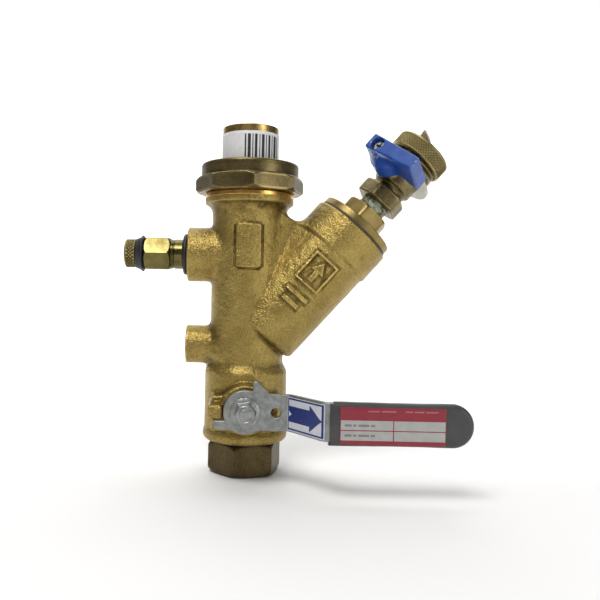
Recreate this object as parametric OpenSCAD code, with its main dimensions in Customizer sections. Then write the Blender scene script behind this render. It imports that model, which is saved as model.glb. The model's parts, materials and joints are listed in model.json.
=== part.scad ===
// Brass combination valve: quarter-turn ball shut-off, Y strainer, union end,
// pressure test port and a small blow-down ball valve with a capped hose outlet.
// Origin at the centre of the bottom port's face. +Z runs up the pipe axis, +X is the side of
// the strainer branch and of the closed lever, -Y is the side that the lever is on.
// Screwed pairs are plain cylinders at the thread's mean radius, with a running clearance.

/* [Pipe run] */
// Across flats of the end connector's hexagon
connector_af = 33; // [31:0.5:34]
// Height of the end connector's hexagon
connector_h = 15.6; // [14.8:0.1:15.8]
// Radius of the bottom port's thread
port_r = 12.3; // [11.5:0.1:12.8]
// Length of the bottom port's thread
port_l = 14; // [10:0.5:14]
// Height of the ball's centre
ball_z = 35.4; // [35:0.1:36]
// Radius of the ball
ball_r = 14.5; // [14:0.1:14.8]
// Radius of the way through the ball and its seats
way_r = 9.6; // [8:0.1:9.8]
// Outer radius of the ball chamber
chamber_r = 20.75; // [20.2:0.05:21]
// Outer radius of the upper tube
tube_r = 18.6; // [17.5:0.1:19]
// Height of the machined shoulder's top, which the union nut stands on
shoulder_z = 140; // [138:0.5:142]

/* [Strainer branch] */
// Angle between the pipe axis and the branch axis
branch_angle = 41.25; // [40:0.25:43]
// Height at which the branch axis leaves the pipe axis
branch_z = 63.3; // [62:0.1:64]
// Outer radius of the branch
branch_r = 20.8; // [20:0.1:21]
// Distance along the branch to the collar's face
collar_u = 80; // [79:0.5:82]
// Outer radius of the collar
collar_r = 21.6; // [21.3:0.1:22]
// Outer radius of the strainer screen
screen_r = 13.3; // [12.5:0.1:13.5]

/* [Union] */
// Across flats of the nut's octagon
nut_af = 51.2; // [50.5:0.1:52]
// Outer radius of the tail
tail_r = 14.3; // [13.8:0.1:14.4]
// Radius of the tail's solder socket
socket_r = 11.18; // [10.9:0.01:11.3]
// Height of the tail's top face
tail_top_z = 173.8; // [170:0.1:176]

/* [Main lever] */
// Distance from the pipe axis to the lever's inner face
lever_y = 31.5; // [31:0.1:32]
// Thickness of the lever's steel
lever_t = 2.8; // [2.5:0.1:3]
// Radius of the lever's hub
hub_r = 10.2; // [10:0.1:10.4]
// How far the dog-leg sets the grip outwards
lever_offset = 19; // [16:0.5:20]
// Distance from the stem to the grip's tip
grip_tip_x = 98.6; // [90:0.2:105]
// Width of the grip
grip_w = 19; // [18.5:0.1:20]

/* [Test port] */
// Height of the test port's axis
test_z = 109.2; // [108:0.1:111]
// Distance from the pipe axis to the upper boss's face
boss_x = 30.7; // [30:0.1:31.5]
// Across flats of the test port's hexagon
test_af = 15.9; // [15:0.1:16.5]

/* [Drain valve] */
// Distance along the branch to the drain ball's centre
drain_u = 114.5; // [114:0.1:115]
// Turn of the drain stem about the branch axis
drain_turn = 40; // [0:1:90]
// Height of the drain handle's top above the drain's axis
handle_top = 32; // [31:0.5:33]
handle_screw_seat = handle_top - 5.6;
// Outer radius of the hose cap
hose_cap_r = 15; // [14.8:0.1:15.5]

/* [Hidden] */
$fn = 64;
over = 1;
fit = 0.05;
gap = 0.3;

foot_z = 16.2;
lip_r = 21.15;
spigot_r = 17;
waist_z = 53.8;
shoulder_r = 22.7;
shoulder_h = 4;
union_thread_r = 20.8;
union_thread_h = 7.5;
union_bore_r = 13;
seat_r = 14;
seat_h = 4;
seat_reach = 9.2;
upper_bore_z = 92;
lower_boss_z = 63.5;
lower_boss_x = 32;
lower_boss_r = 9.6;
upper_boss_r = 13.8;

stem_r = 5;
stem_boss_r = 11.7;
stem_boss_y = 30.2;
stem_collar_r = 7.4;
stem_square = 7;
gland_r = 8;
lug_x = [-17.5, -10.6];
lug_z = [-3.6, 3.1];

arm_low = -8.4;
arm_high = 8.7;
bend_x = 21.3;
bend_run = 14;
bend_lead = lever_t * tan(atan(lever_offset / bend_run) / 2);
lock_hole_x = 14.1;
lock_hole_r = 2.25;
grip_x = 36;
grip_t = 6.2;
grip_drop = 0.4;
core_half_w = 7.2;
core_l = 52;
grip_y = lever_y + lever_offset + lever_t / 2 - grip_t / 2;
label_t = 0.15;

branch_foot_u = 9.6;
screen_u = 15.2;
screen_top_u = 70;
chamber_bore_r = 17;
chamber_u = 23;
cap_thread_r = 17.6;
cap_thread_u = 63.5;
gasket_t = 0.9;
cap_flange_u = collar_u + gasket_t + 2 * fit;
cap_hex_u = 84.5;
cap_hex_af = 21.8;
cap_hex_r = 12.2;
cap_hex_turn = 16;
cap_top_u = 93;
nipple_r = 6.85;
drain_hex_u = 98;
drain_hex_af = 22;
drain_hex_r = 12.2;
drain_neck_u = 106;
drain_body_r = 10.6;
drain_ball_r = 7.4;
drain_way_r = 4.6;
drain_stem_r = 2.6;
drain_boss_r = 5;
drain_boss_h = 13;
outlet_u = 119.6;
hose_thread_r = 13.4;
hose_thread_u = 122;
hose_thread_top_u = 132.5;
hose_cap_u = 127;
hose_cap_top_u = 135.5;
strap_inner_r = 10.85;
strap_outer_r = 15.2;
strap_shift = 2.5;
strap_tilt = 7;
strap_u = 118.3;
band_y = 15.3;
band_t = 1.2;
band_w = 7;

nut_top_z = shoulder_z + 15.1;
nut_hex_h = 8.4;
nut_collar_r = 24.8;
nut_shoulder_z = nut_top_z - 3;
body_top_z = shoulder_z + union_thread_h;
tail_flange_z = body_top_z + 0.8;
tail_label_low_z = nut_shoulder_z + 0.2;
tail_label_high_z = tail_top_z - 3.6;

test_ring_x = boss_x + 2.5;
test_hex_x = 39.5;
test_hex_end_x = 52.9;
test_cap_x = 57.6;
test_end_x = 62.9;
test_thread_r = 4.6;

brass = "#b08d3e";
cut_brass = "#d2b45c";
steel = "#a4a7a3";
rubber = "#1d1d1f";
ptfe = "#eeeeea";
nylon = "#dcdccf";

// Frames: each one puts local +Z along the named axis.
module toward_lever() {
    translate([0, 0, ball_z])
        rotate([90, 0, 0])
            children();
}

module toward_test_port() {
    translate([0, 0, test_z])
        rotate([0, -90, 0])
            children();
}

module along_branch(u = 0) {
    translate([0, 0, branch_z])
        rotate([0, branch_angle, 0])
            translate([0, 0, u])
                children();
}

module toward_drain_handle() {
    along_branch(drain_u)
        rotate([0, 0, -drain_turn])
            rotate([90, 0, 0])
                children();
}

// Shared shapes
module rod(r, from, to) {
    translate([0, 0, from])
        cylinder(r = r, h = to - from);
}

module ring(outer, inner, from, to) {
    difference() {
        rod(outer, from, to);
        rod(inner, from - over, to + over);
    }
}

module hexagon(af, from, to, turn = 0) {
    translate([0, 0, from])
        rotate([0, 0, turn])
            cylinder(d = af / cos(30), h = to - from, $fn = 6);
}

// A hexagon whose corners are turned down to a round of radius corner_r
module turned_hexagon(af, corner_r, from, to, turn = 0) {
    intersection() {
        hexagon(af, from, to, turn);
        rod(corner_r, from - over, to + over);
    }
}

module cone(r_from, r_to, from, to) {
    translate([0, 0, from])
        cylinder(r1 = r_from, r2 = r_to, h = to - from);
}

// Valve body: one casting with the ball chamber, the tube, the branch and its bosses
module body_shell() {
    rotate_extrude()
        polygon([
            [0, foot_z],
            [17.6, foot_z],
            [19.6, foot_z + 0.7],
            [20.8, foot_z + 2],
            [lip_r, foot_z + 3.6],
            [chamber_r, foot_z + 6],
            [chamber_r, waist_z - 5.6],
            [chamber_r - 0.5, waist_z - 3.4],
            [chamber_r - 1.4, waist_z - 1.6],
            [tube_r, waist_z],
            [tube_r, shoulder_z - 10],
            [tube_r + 1, shoulder_z - 8],
            [tube_r + 2.8, shoulder_z - 5.6],
            [shoulder_r, shoulder_z - shoulder_h],
            [shoulder_r, shoulder_z],
            [union_thread_r, shoulder_z],
            [union_thread_r, body_top_z],
            [0, body_top_z]
        ]);
}

module branch_shell() {
    along_branch() {
        cone(branch_r - 3, branch_r, branch_foot_u, branch_foot_u + 3);
        rod(branch_r, branch_foot_u + 3, collar_u - 15);
        rod(collar_r, collar_u - 16, collar_u - 1);
        cone(collar_r, collar_r - 1, collar_u - 1, collar_u);
    }
}

module crotch_web() {
    web_half = 8;
    translate([0, web_half, 0])
        rotate([90, 0, 0])
            linear_extrude(2 * web_half)
                polygon([[8, 78], [30, 92], [34, 124], [26, 127.5], [20, 133], [12, 133]]);
}

module side_bosses() {
    toward_test_port() {
        rod(upper_boss_r, 10, boss_x - 1);
        cone(upper_boss_r, upper_boss_r - 1, boss_x - 1, boss_x);
    }
    translate([0, 0, lower_boss_z])
        rotate([0, -90, 0])
            rod(lower_boss_r, 10, lower_boss_x);
}

module stem_boss() {
    toward_lever() {
        rod(stem_boss_r, 12, stem_boss_y - 1);
        cone(stem_boss_r, stem_boss_r - 1, stem_boss_y - 1, stem_boss_y);
        translate([-16, -11, 12])
            cube([32, 17, 13]);
        translate([lug_x[0], lug_z[0], 12])
            cube([lug_x[1] - lug_x[0], lug_z[1] - lug_z[0], lever_y + lever_t - 12]);
    }
}

module front_pad() {
    pad_w = 12.5;
    pad_h = 21.5;
    translate([-pad_w / 2, -tube_r - 0.9, 113.4 - pad_h / 2])
        cube([pad_w, 4, pad_h]);
}

module body_ways() {
    rod(spigot_r, foot_z - over, ball_z + seat_reach);
    rod(seat_r, ball_z, ball_z + seat_reach + seat_h);
    rod(way_r, ball_z, branch_z);
    translate([0, 0, branch_z])
        sphere(r = way_r + 0.5);
    rod(union_bore_r, upper_bore_z, body_top_z + over);
    along_branch() {
        rod(way_r, 0, screen_u + over);
        rod(screen_r + 0.1, screen_u - 0.2, chamber_u + over);
        rod(chamber_bore_r, chamber_u, collar_u);
        rod(cap_thread_r, cap_thread_u, collar_u + over);
    }
    toward_test_port()
        rod(6.6, 8, boss_x + over);
    toward_lever() {
        rod(stem_collar_r + gap, 8, 18);
        rod(stem_r + fit, 17, stem_boss_y);
        rod(gland_r, 23, stem_boss_y + over);
    }
}

module valve_body() {
    color(brass)
        difference() {
            union() {
                body_shell();
                branch_shell();
                crotch_web();
                side_bosses();
                stem_boss();
                front_pad();
            }
            body_ways();
        }
}

// End connector: hexagon with the bottom port, screwed into the ball chamber
module end_connector() {
    chamfer_r = connector_af / 2 + 1.4;
    color(brass)
        difference() {
            union() {
                intersection() {
                    hexagon(connector_af, 0, connector_h, 15);
                    union() {
                        cone(chamfer_r - 1.6, chamfer_r + 1.6, 0, 1.8);
                        rod(chamfer_r + 1.6, 1.8, connector_h);
                    }
                }
                rod(spigot_r - 0.8, connector_h - over, foot_z + over);
                rod(spigot_r, foot_z, ball_z - seat_reach);
            }
            rod(port_r, -over, port_l);
            rod(way_r, port_l - over, ball_z);
            rod(seat_r, ball_z - seat_reach - seat_h, ball_z);
        }
}

module body_seal() {
    color(rubber)
        ring(spigot_r - 0.8 + 1.6, spigot_r - 0.8, connector_h, foot_z);
}

module seat() {
    color(ptfe)
        difference() {
            ring(seat_r, way_r, seat_reach, seat_reach + seat_h);
            sphere(r = ball_r + fit);
        }
}

module lower_seat() {
    translate([0, 0, ball_z])
        mirror([0, 0, 1])
            seat();
}

module upper_seat() {
    translate([0, 0, ball_z])
        seat();
}

// Stem seals, held in the stem boss
module thrust_washer() {
    color(ptfe)
        toward_lever()
            ring(stem_collar_r, stem_r + fit, 17, 18);
}

module stem_packing() {
    color(ptfe)
        toward_lever()
            for (from = [23, 24.6])
                ring(gland_r, stem_r + fit, from, from + 1.4);
}

module gland_nut() {
    color(cut_brass)
        toward_lever()
            difference() {
                ring(gland_r, stem_r + fit, 26, 30);
                translate([-gland_r - over, -0.8, 29])
                    cube([2 * gland_r + 2 * over, 1.6, 2]);
            }
}

// Test port: plug body, rubber core and its retainer
module test_port_body() {
    color(cut_brass)
        toward_test_port()
            difference() {
                union() {
                    rod(6.6, 14, boss_x);
                    rod(6.2, boss_x, test_ring_x);
                    rod(7.6, test_ring_x, test_hex_x - 1.6);
                    rod(6.9, test_hex_x - 2, test_hex_x);
                    hexagon(test_af, test_hex_x, test_hex_end_x, 30);
                    rod(test_thread_r, test_hex_end_x - over, test_end_x - 2);
                }
                rod(1.8, 13, test_end_x);
                rod(3, 20, test_hex_end_x + 6);
            }
}

module test_port_core() {
    color(rubber)
        toward_test_port()
            rod(3, 22, test_hex_end_x);
}

module core_retainer() {
    color(cut_brass)
        toward_test_port()
            ring(3, 1.8, test_hex_end_x, test_hex_end_x + 3);
}

module test_base_ring() {
    color(rubber)
        toward_test_port() {
            ring(10.2, 6.2, boss_x, boss_x + 0.6);
            ring(10.5, 6.2, boss_x + 0.6, boss_x + 1.9);
            ring(9.9, 6.2, boss_x + 1.9, test_ring_x);
        }
}

module test_strap() {
    color(rubber)
        toward_test_port()
            translate([-2, 9.4, test_ring_x])
                cube([4, 1.5, test_hex_end_x - test_ring_x - gap]);
}

module test_cap_ring() {
    ring_r = test_thread_r + 1.4 + fit;
    color(rubber)
        toward_test_port() {
            ring(9.25, ring_r, test_hex_end_x + gap, test_hex_end_x + 3);
            ring(7.6, ring_r, test_hex_end_x + 3, test_cap_x - gap);
        }
}

module test_cap() {
    color(cut_brass)
        toward_test_port()
            difference() {
                union() {
                    rod(test_thread_r + 1.4, test_hex_end_x + gap, test_cap_x);
                    rod(7.25, test_cap_x, test_end_x - 1);
                    cone(7.25, 6.2, test_end_x - 1, test_end_x);
                }
                rod(test_thread_r + fit, test_hex_end_x, test_end_x - 1.6);
            }
}

module test_cap_gasket() {
    color(rubber)
        toward_test_port()
            ring(4, 1.8, test_end_x - 1.9, test_end_x - 1.6);
}

// Ball, stem and lever
module main_ball() {
    color("#c9ccca")
        translate([0, 0, ball_z])
            difference() {
                sphere(r = ball_r);
                rotate([0, 90, 0])
                    translate([0, 0, -ball_r - over])
                        cylinder(r = way_r, h = 2 * ball_r + 2 * over);
                translate([-ball_r, -ball_r - over, -2])
                    cube([2 * ball_r, 3.6 + over, 4]);
            }
}

module main_stem() {
    color(cut_brass)
        toward_lever()
            difference() {
                union() {
                    intersection() {
                        translate([-6.5, -2, ball_r - 3.4])
                            cube([13, 4, 5]);
                        rod(stem_collar_r - 1, 0, 20);
                    }
                    rod(stem_collar_r, ball_r + 0.4, 17 - gap);
                    rod(stem_r, 16, lever_y);
                    translate([-stem_square / 2, -stem_square / 2, lever_y - over])
                        cube([stem_square, stem_square, lever_t + over]);
                }
                rod(3, 22, lever_y + lever_t + over);
                ring(stem_r + over, stem_r - 0.8, 19.5, 21.5);
            }
}

module stem_seal() {
    color(rubber)
        toward_lever()
            ring(stem_r - 0.02, stem_r - 0.8, 19.5, 21.5);
}

module lever_profile() {
    far = 94.5;
    inner = lever_y + lever_offset;
    polygon([
        [-20, lever_y],
        [bend_x, lever_y],
        [bend_x + bend_run, inner],
        [far, inner],
        [far, inner + lever_t],
        [bend_x + bend_run - bend_lead, inner + lever_t],
        [bend_x - bend_lead, lever_y + lever_t],
        [-20, lever_y + lever_t]
    ]);
}

// The lever seen along the stem: hub, arm, steel under the grip and the two stop tabs
module lever_plate(h) {
    rod(hub_r, 0, h);
    translate([0, arm_low, 0])
        cube([grip_x + 2, arm_high - arm_low, h]);
    grip_core(h);
    linear_extrude(h)
        polygon([[3.4, 0], [3.4, 13.2], [5.5, 14.6], [11.4, arm_high - 0.5], [11.4, 0]]);
    linear_extrude(h)
        polygon([
            [1, arm_low],
            [-13.2, arm_low],
            [-15.2, -6.6],
            [-15.2, -5],
            [-14.2, -3.9],
            [-8, -3.9],
            [1, -1]
        ]);
}

module grip_core(h) {
    translate([grip_x, -core_half_w, 0])
        cube([core_l, 2 * core_half_w, h]);
    translate([grip_x + core_l - 1, 0, 0])
        cylinder(r = core_half_w, h = h);
}

module lever() {
    color(steel)
        difference() {
            intersection() {
                toward_lever()
                    lever_plate(100);
                translate([0, 0, ball_z - 30])
                    linear_extrude(60)
                        mirror([0, 1])
                            lever_profile();
            }
            toward_lever() {
                translate([-stem_square / 2, -stem_square / 2, lever_y - over])
                    cube([stem_square, stem_square, lever_t + 2 * over]);
                translate([lock_hole_x, 0, 0])
                    rod(lock_hole_r, lever_y - over, lever_y + lever_t + over);
            }
        }
}

module grip_outline(w, tip) {
    corner = 8;
    translate([grip_x, -w / 2])
        square([tip - grip_x - corner, w]);
    translate([tip - 2 * corner, -w / 2 + corner])
        square([2 * corner, w - 2 * corner]);
    for (side = [-1, 1])
        translate([tip - corner, side * (w / 2 - corner)])
            circle(r = corner);
}

module lever_grip() {
    color("#6b6b6e")
        difference() {
            toward_lever()
                translate([0, -grip_drop, grip_y])
                    linear_extrude(grip_t)
                        grip_outline(grip_w, grip_tip_x);
            toward_lever()
                translate([0, 0, lever_y + lever_offset]) {
                    grip_core(lever_t);
                    translate([grip_x - over, arm_low, 0])
                        cube([2 + over, arm_high - arm_low, lever_t]);
                }
        }
}

module lever_screw() {
    color("#c4c6c4")
        toward_lever() {
            seat = lever_y + lever_t;
            rod(3, seat - 11, seat);
            rod(7.1, seat, seat + 1.6);
            hexagon(10, seat + 1.6, seat + 6.6, 10);
            cone(4.6, 3.9, seat + 6.6, seat + 7.2);
        }
}

module flow_label() {
    slant = atan(lever_offset / bend_run);
    slant_l = norm([bend_run, lever_offset]);
    label_l = 20.6;
    color("#f2f4f8")
        toward_lever()
            translate([bend_x - bend_lead, 0, lever_y + lever_t])
                rotate([0, -slant, 0])
                    translate([(slant_l - label_l) / 2, -7.6, 0])
                        cube([label_l, 15.6, label_t]);
}

module spec_label() {
    color("#b02c3c")
        toward_lever()
            translate([40.7, -9.2, grip_y + grip_t])
                cube([45.4, 16.5, label_t]);
}

// Union: tail, face seal, label and nut
module union_tail() {
    flange_r = union_thread_r - gap;
    color(brass)
        difference() {
            union() {
                rod(flange_r, tail_flange_z, nut_shoulder_z - gap);
                rod(tail_r, tail_flange_z, tail_top_z - 0.6);
                cone(tail_r, tail_r - 0.6, tail_top_z - 0.6, tail_top_z);
            }
            rod(socket_r - 1.2, tail_flange_z - over, tail_top_z);
            rod(socket_r, tail_top_z - 18, tail_top_z + over);
        }
}

module union_seal() {
    color(rubber)
        ring(17.5, union_bore_r + 0.5, body_top_z + fit, tail_flange_z);
}

module tail_label() {
    color("#f4f4f2")
        difference() {
            ring(tail_r + label_t, tail_r, tail_label_low_z, tail_label_high_z);
            translate([-5, 0, 0])
                cube([10, 40, tail_top_z]);
        }
}

module union_nut() {
    corner_r = nut_af / 2 / cos(22.5);
    color(brass)
        difference() {
            union() {
                intersection() {
                    translate([0, 0, shoulder_z + gap])
                        rotate([0, 0, 4.3])
                            cylinder(r = corner_r, h = nut_hex_h - gap, $fn = 8);
                    union() {
                        cone(corner_r - 1.6, corner_r + 0.4, shoulder_z, shoulder_z + 1.2);
                        rod(corner_r + 0.4, shoulder_z + 1.2, shoulder_z + nut_hex_h - 1.2);
                        cone(
                            corner_r + 0.4,
                            corner_r - 1.6,
                            shoulder_z + nut_hex_h - 1.2,
                            shoulder_z + nut_hex_h
                        );
                    }
                }
                rod(nut_collar_r, shoulder_z + 4, nut_top_z - 1);
                cone(nut_collar_r, nut_collar_r - 1, nut_top_z - 1, nut_top_z);
            }
            rod(union_thread_r + fit, shoulder_z - over, nut_shoulder_z);
            rod(tail_r + 0.6, nut_shoulder_z - over, nut_top_z + over);
        }
}

// Strainer: screen, gasket and cap
module strainer_screen() {
    color("#b9bcb8")
        along_branch() {
            ring(screen_r, screen_r - 0.5, screen_u, screen_top_u);
            ring(screen_r, screen_r - 2.4, screen_u, screen_u + 1.6);
        }
}

module strainer_gasket() {
    color(rubber)
        along_branch(collar_u + fit)
            ring(collar_r - 1.2, cap_thread_r + 0.2, 0, gasket_t);
}

module strainer_cap() {
    color(cut_brass)
        along_branch()
            difference() {
                union() {
                    rod(cap_thread_r - fit, cap_thread_u + 0.5, cap_flange_u + over);
                    rod(collar_r - 1.4, cap_flange_u, cap_hex_u - 0.6);
                    cone(collar_r - 1.4, collar_r - 2, cap_hex_u - 0.6, cap_hex_u);
                    turned_hexagon(cap_hex_af, cap_hex_r, cap_hex_u - over, cap_top_u, cap_hex_turn);
                }
                rod(screen_r + gap, cap_thread_u, cap_flange_u - 3);
                rod(screen_r - 3, cap_thread_u, cap_flange_u + 0.5);
                rod(5, cap_thread_u, cap_top_u + over);
                rod(nipple_r, cap_top_u - 8, cap_top_u + over);
            }
}

module thread_sealant() {
    color(nylon)
        along_branch()
            ring(nipple_r + 0.7, nipple_r, cap_top_u, drain_hex_u);
}

// Drain valve: body, outlet, seats and gland
module drain_body() {
    color(cut_brass)
        difference() {
            union() {
                along_branch() {
                    rod(nipple_r, cap_top_u - 7.5, drain_hex_u + over);
                    turned_hexagon(drain_hex_af, drain_hex_r, drain_hex_u, drain_neck_u, 5);
                    cone(drain_body_r, drain_body_r - 1.6, drain_neck_u, drain_neck_u + 1.6);
                    rod(drain_body_r - 1.6, drain_neck_u + 1, drain_u - 5);
                    cone(drain_body_r - 1.6, drain_body_r, drain_u - 6, drain_u - 4);
                    rod(drain_body_r, drain_u - 4, outlet_u);
                }
                toward_drain_handle()
                    rod(drain_boss_r, 4, drain_boss_h);
            }
            along_branch() {
                rod(drain_way_r, cap_top_u - 9, drain_u);
                rod(drain_ball_r + 1, drain_u - 8, outlet_u + over);
            }
            toward_drain_handle() {
                rod(drain_stem_r + fit, 4, drain_boss_h + over);
                rod(3.6, 10.5, drain_boss_h + over);
            }
        }
}

module drain_seat(side) {
    reach = 4.6;
    along_branch(drain_u)
        mirror([0, 0, side])
            difference() {
                ring(drain_ball_r + 1, drain_way_r, reach, reach + 2.4);
                sphere(r = drain_ball_r + fit);
            }
}

module drain_seats() {
    color(ptfe) {
        difference() {
            drain_seat(0);
            along_branch()
                ring(20, drain_ball_r + 0.4, outlet_u, outlet_u + 5);
        }
        drain_seat(1);
    }
}

module drain_outlet() {
    color(cut_brass)
        along_branch()
            difference() {
                union() {
                    rod(drain_body_r, outlet_u, hose_thread_u + over);
                    rod(hose_thread_r, hose_thread_u, hose_thread_top_u);
                }
                rod(drain_way_r + 2, drain_u, hose_thread_top_u + over);
                rod(drain_ball_r + 0.4, drain_u, drain_u + 7);
                rod(9.5, hose_thread_u + 2, hose_thread_top_u + over);
            }
}

module drain_gland() {
    color(cut_brass)
        toward_drain_handle()
            ring(3.6, drain_stem_r + fit, 11.5, drain_boss_h);
}

module drain_stem_seal() {
    color(rubber)
        toward_drain_handle()
            ring(drain_stem_r - 0.02, drain_stem_r - 0.6, 9, 10.2);
}

module drain_ball() {
    color("#c9ccca")
        toward_drain_handle()
            difference() {
                sphere(r = drain_ball_r);
                rotate([0, 90, 0])
                    translate([0, 0, -10])
                        cylinder(r = drain_way_r, h = 20);
                translate([-10, -1, drain_ball_r - 1.8])
                    cube([20, 2, 4]);
            }
}

module drain_stem() {
    color(cut_brass)
        toward_drain_handle()
            difference() {
                union() {
                    intersection() {
                        rod(drain_stem_r, drain_ball_r - 1.8, drain_ball_r + 1);
                        translate([-4, -1, 0])
                            cube([8, 2, 12]);
                    }
                    rod(drain_stem_r, drain_ball_r + 0.3, drain_boss_h + gap);
                    translate([-1.9, -1.9, drain_boss_h])
                        cube([3.8, 3.8, handle_screw_seat - drain_boss_h]);
                }
                rod(1.5, drain_boss_h - 1, handle_screw_seat + over);
                ring(4, drain_stem_r - 0.6, 9, 10.2);
            }
}

// Drain handle: a wing moulded round a hub, with a screw recess over the stem
module drain_handle() {
    heel_x = -5;
    tip_x = 24.3;
    tip_low_x = 22;
    tip_low = 12.6;
    hub_low = drain_boss_h + gap;
    color("#2350a8")
        toward_drain_handle()
            difference() {
                union() {
                    intersection() {
                        translate([0, 20, 0])
                            rotate([90, 0, 0])
                                linear_extrude(40)
                                    polygon([
                                        [heel_x, handle_top],
                                        [tip_x, handle_top],
                                        [tip_low_x, tip_low],
                                        [6, hub_low],
                                        [heel_x, hub_low]
                                    ]);
                        linear_extrude(handle_top)
                            polygon([
                                [heel_x, -4.1],
                                [tip_x, -3.3],
                                [tip_x, 3.3],
                                [heel_x, 4.1]
                            ]);
                    }
                    cone(7.2, 6.6, hub_low, hub_low + 7);
                    cone(6.6, 4, hub_low + 7, handle_top - 3);
                }
                rod(3.3, handle_screw_seat, handle_top + over);
                translate([-1.9, -1.9, hub_low - over])
                    cube([3.8, 3.8, handle_screw_seat - hub_low + 2 * over]);
            }
}

module drain_handle_screw() {
    color("#c4c6c4")
        toward_drain_handle() {
            rod(1.5, drain_boss_h, handle_screw_seat);
            rod(2.9, handle_screw_seat, handle_screw_seat + 1.6);
            cone(2.9, 1.8, handle_screw_seat + 1.6, handle_screw_seat + 2.4);
        }
}

// Hose cap with its washer and its retaining strap
// The strap's neck ring hangs a little tilted, off the side that the handle's hub is on.
module hose_strap() {
    color(nylon) {
        difference() {
            along_branch(outlet_u - 0.5)
                rotate([0, 0, -drain_turn])
                    translate([0, strap_shift, 0])
                        rotate([-strap_tilt, 0, 0])
                            rod(strap_outer_r, -0.8, 0.8);
            along_branch()
                rod(strap_inner_r, outlet_u - 8, outlet_u + 8);
        }
        along_branch()
            translate([-band_w / 2, band_y, strap_u])
                cube([band_w, band_t, hose_cap_top_u - strap_u]);
    }
}

module hose_strap_end() {
    top = hose_cap_top_u + gap;
    tail_turn = 146;
    color(nylon)
        along_branch() {
            rod(6, top, top + 1.1);
            translate([-band_w / 2, 0, top])
                cube([band_w, band_y + band_t, 1.1]);
            translate([0, 0, top])
                rotate([0, 0, tail_turn])
                    rotate([12, 0, 0])
                        linear_extrude(1.1)
                            polygon([[-3.5, 0], [3.5, 0], [3.5, 8], [0, 13.5], [-3.5, 8]]);
            rod(1.8, hose_cap_top_u - 1.5, top + over);
        }
}

module hose_cap() {
    color(cut_brass)
        along_branch()
            difference() {
                union() {
                    rod(hose_cap_r - 0.2, hose_cap_u, hose_cap_top_u - 0.8);
                    cone(hose_cap_r - 0.2, hose_cap_r - 1, hose_cap_top_u - 0.8, hose_cap_top_u);
                }
                rod(hose_thread_r + fit, hose_cap_u - over, hose_cap_top_u - 1.5);
                rod(1.8 + fit, hose_cap_top_u - 3, hose_cap_top_u + over);
            }
}

module hose_washer() {
    color(rubber)
        along_branch()
            ring(hose_thread_r, 9, hose_thread_top_u + fit, hose_cap_top_u - 1.5);
}

valve_body();
end_connector();
body_seal();
lower_seat();
upper_seat();
thrust_washer();
stem_packing();
gland_nut();
test_port_body();
test_port_core();
core_retainer();
test_base_ring();
test_strap();
main_ball();
main_stem();
stem_seal();
lever();
lever_grip();
lever_screw();
flow_label();
spec_label();
union_tail();
union_seal();
tail_label();
union_nut();
strainer_screen();
strainer_gasket();
strainer_cap();
thread_sealant();
drain_body();
drain_seats();
drain_outlet();
drain_gland();
hose_strap();
drain_ball();
drain_stem();
drain_stem_seal();
drain_handle();
drain_handle_screw();
hose_strap_end();
hose_cap();
hose_washer();
test_cap_ring();
test_cap();
test_cap_gasket();
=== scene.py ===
"""Looks of the brass combination valve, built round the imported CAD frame."""

import json
from math import atan2, ceil, cos, degrees, hypot, pi, radians, sin, tan

import bpy
import numpy as np
from mathutils import Matrix, Vector


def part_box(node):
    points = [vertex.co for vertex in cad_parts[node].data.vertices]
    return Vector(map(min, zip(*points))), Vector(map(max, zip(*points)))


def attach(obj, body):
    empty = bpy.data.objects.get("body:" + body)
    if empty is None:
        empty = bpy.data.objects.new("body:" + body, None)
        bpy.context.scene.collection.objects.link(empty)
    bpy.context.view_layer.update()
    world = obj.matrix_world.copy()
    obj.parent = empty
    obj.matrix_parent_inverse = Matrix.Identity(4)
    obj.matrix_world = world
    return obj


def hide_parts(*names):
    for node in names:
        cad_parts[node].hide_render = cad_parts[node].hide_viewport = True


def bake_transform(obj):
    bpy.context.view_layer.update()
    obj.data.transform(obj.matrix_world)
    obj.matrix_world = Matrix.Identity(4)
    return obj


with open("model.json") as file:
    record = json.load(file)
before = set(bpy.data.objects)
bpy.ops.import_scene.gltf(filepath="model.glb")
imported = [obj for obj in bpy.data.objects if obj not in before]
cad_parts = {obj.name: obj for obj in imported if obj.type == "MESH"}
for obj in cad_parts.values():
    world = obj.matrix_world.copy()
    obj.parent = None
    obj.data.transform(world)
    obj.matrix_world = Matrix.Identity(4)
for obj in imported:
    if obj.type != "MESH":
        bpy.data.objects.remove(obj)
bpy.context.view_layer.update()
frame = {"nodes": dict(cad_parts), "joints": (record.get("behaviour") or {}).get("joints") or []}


MM = 0.001
COARSE = 1.0
JOINTS = {j["name"]: j for j in frame["joints"]}


# ---------------------------------------------------------------- frames
class Place:
    """A local frame in millimetres: its origin and three unit axes in the part's frame."""

    def __init__(self, origin, x, y, z):
        self.origin = np.array(origin, float)
        self.axes = np.array([x, y, z], float)

    def inward(self, points):
        return (points - self.origin) @ self.axes.T

    def outward(self, points):
        return points @ self.axes + self.origin


def joint_mm(name):
    return np.array(JOINTS[name]["pos_m"]) / MM


def low_mm(node):
    return np.array(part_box(node)[0]) / MM


def high_mm(node):
    return np.array(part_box(node)[1]) / MM


BALL_Z = float(joint_mm("main_lever_turn")[2])
TEST_Z = float(joint_mm("test_cap_turn")[2])
AXIS = np.array(JOINTS["strainer_cap_turn"]["axis"])
ACROSS = np.array([AXIS[2], 0.0, -AXIS[0]])
COLLAR = joint_mm("strainer_cap_turn")
COLLAR_U = COLLAR[0] / AXIS[0]
BRANCH_Z = COLLAR[2] - COLLAR_U * AXIS[2]
DRAIN = joint_mm("drain_handle_turn")
DRAIN_U = DRAIN[0] / AXIS[0]
STEM = -np.array(JOINTS["drain_handle_turn"]["axis"])

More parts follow.
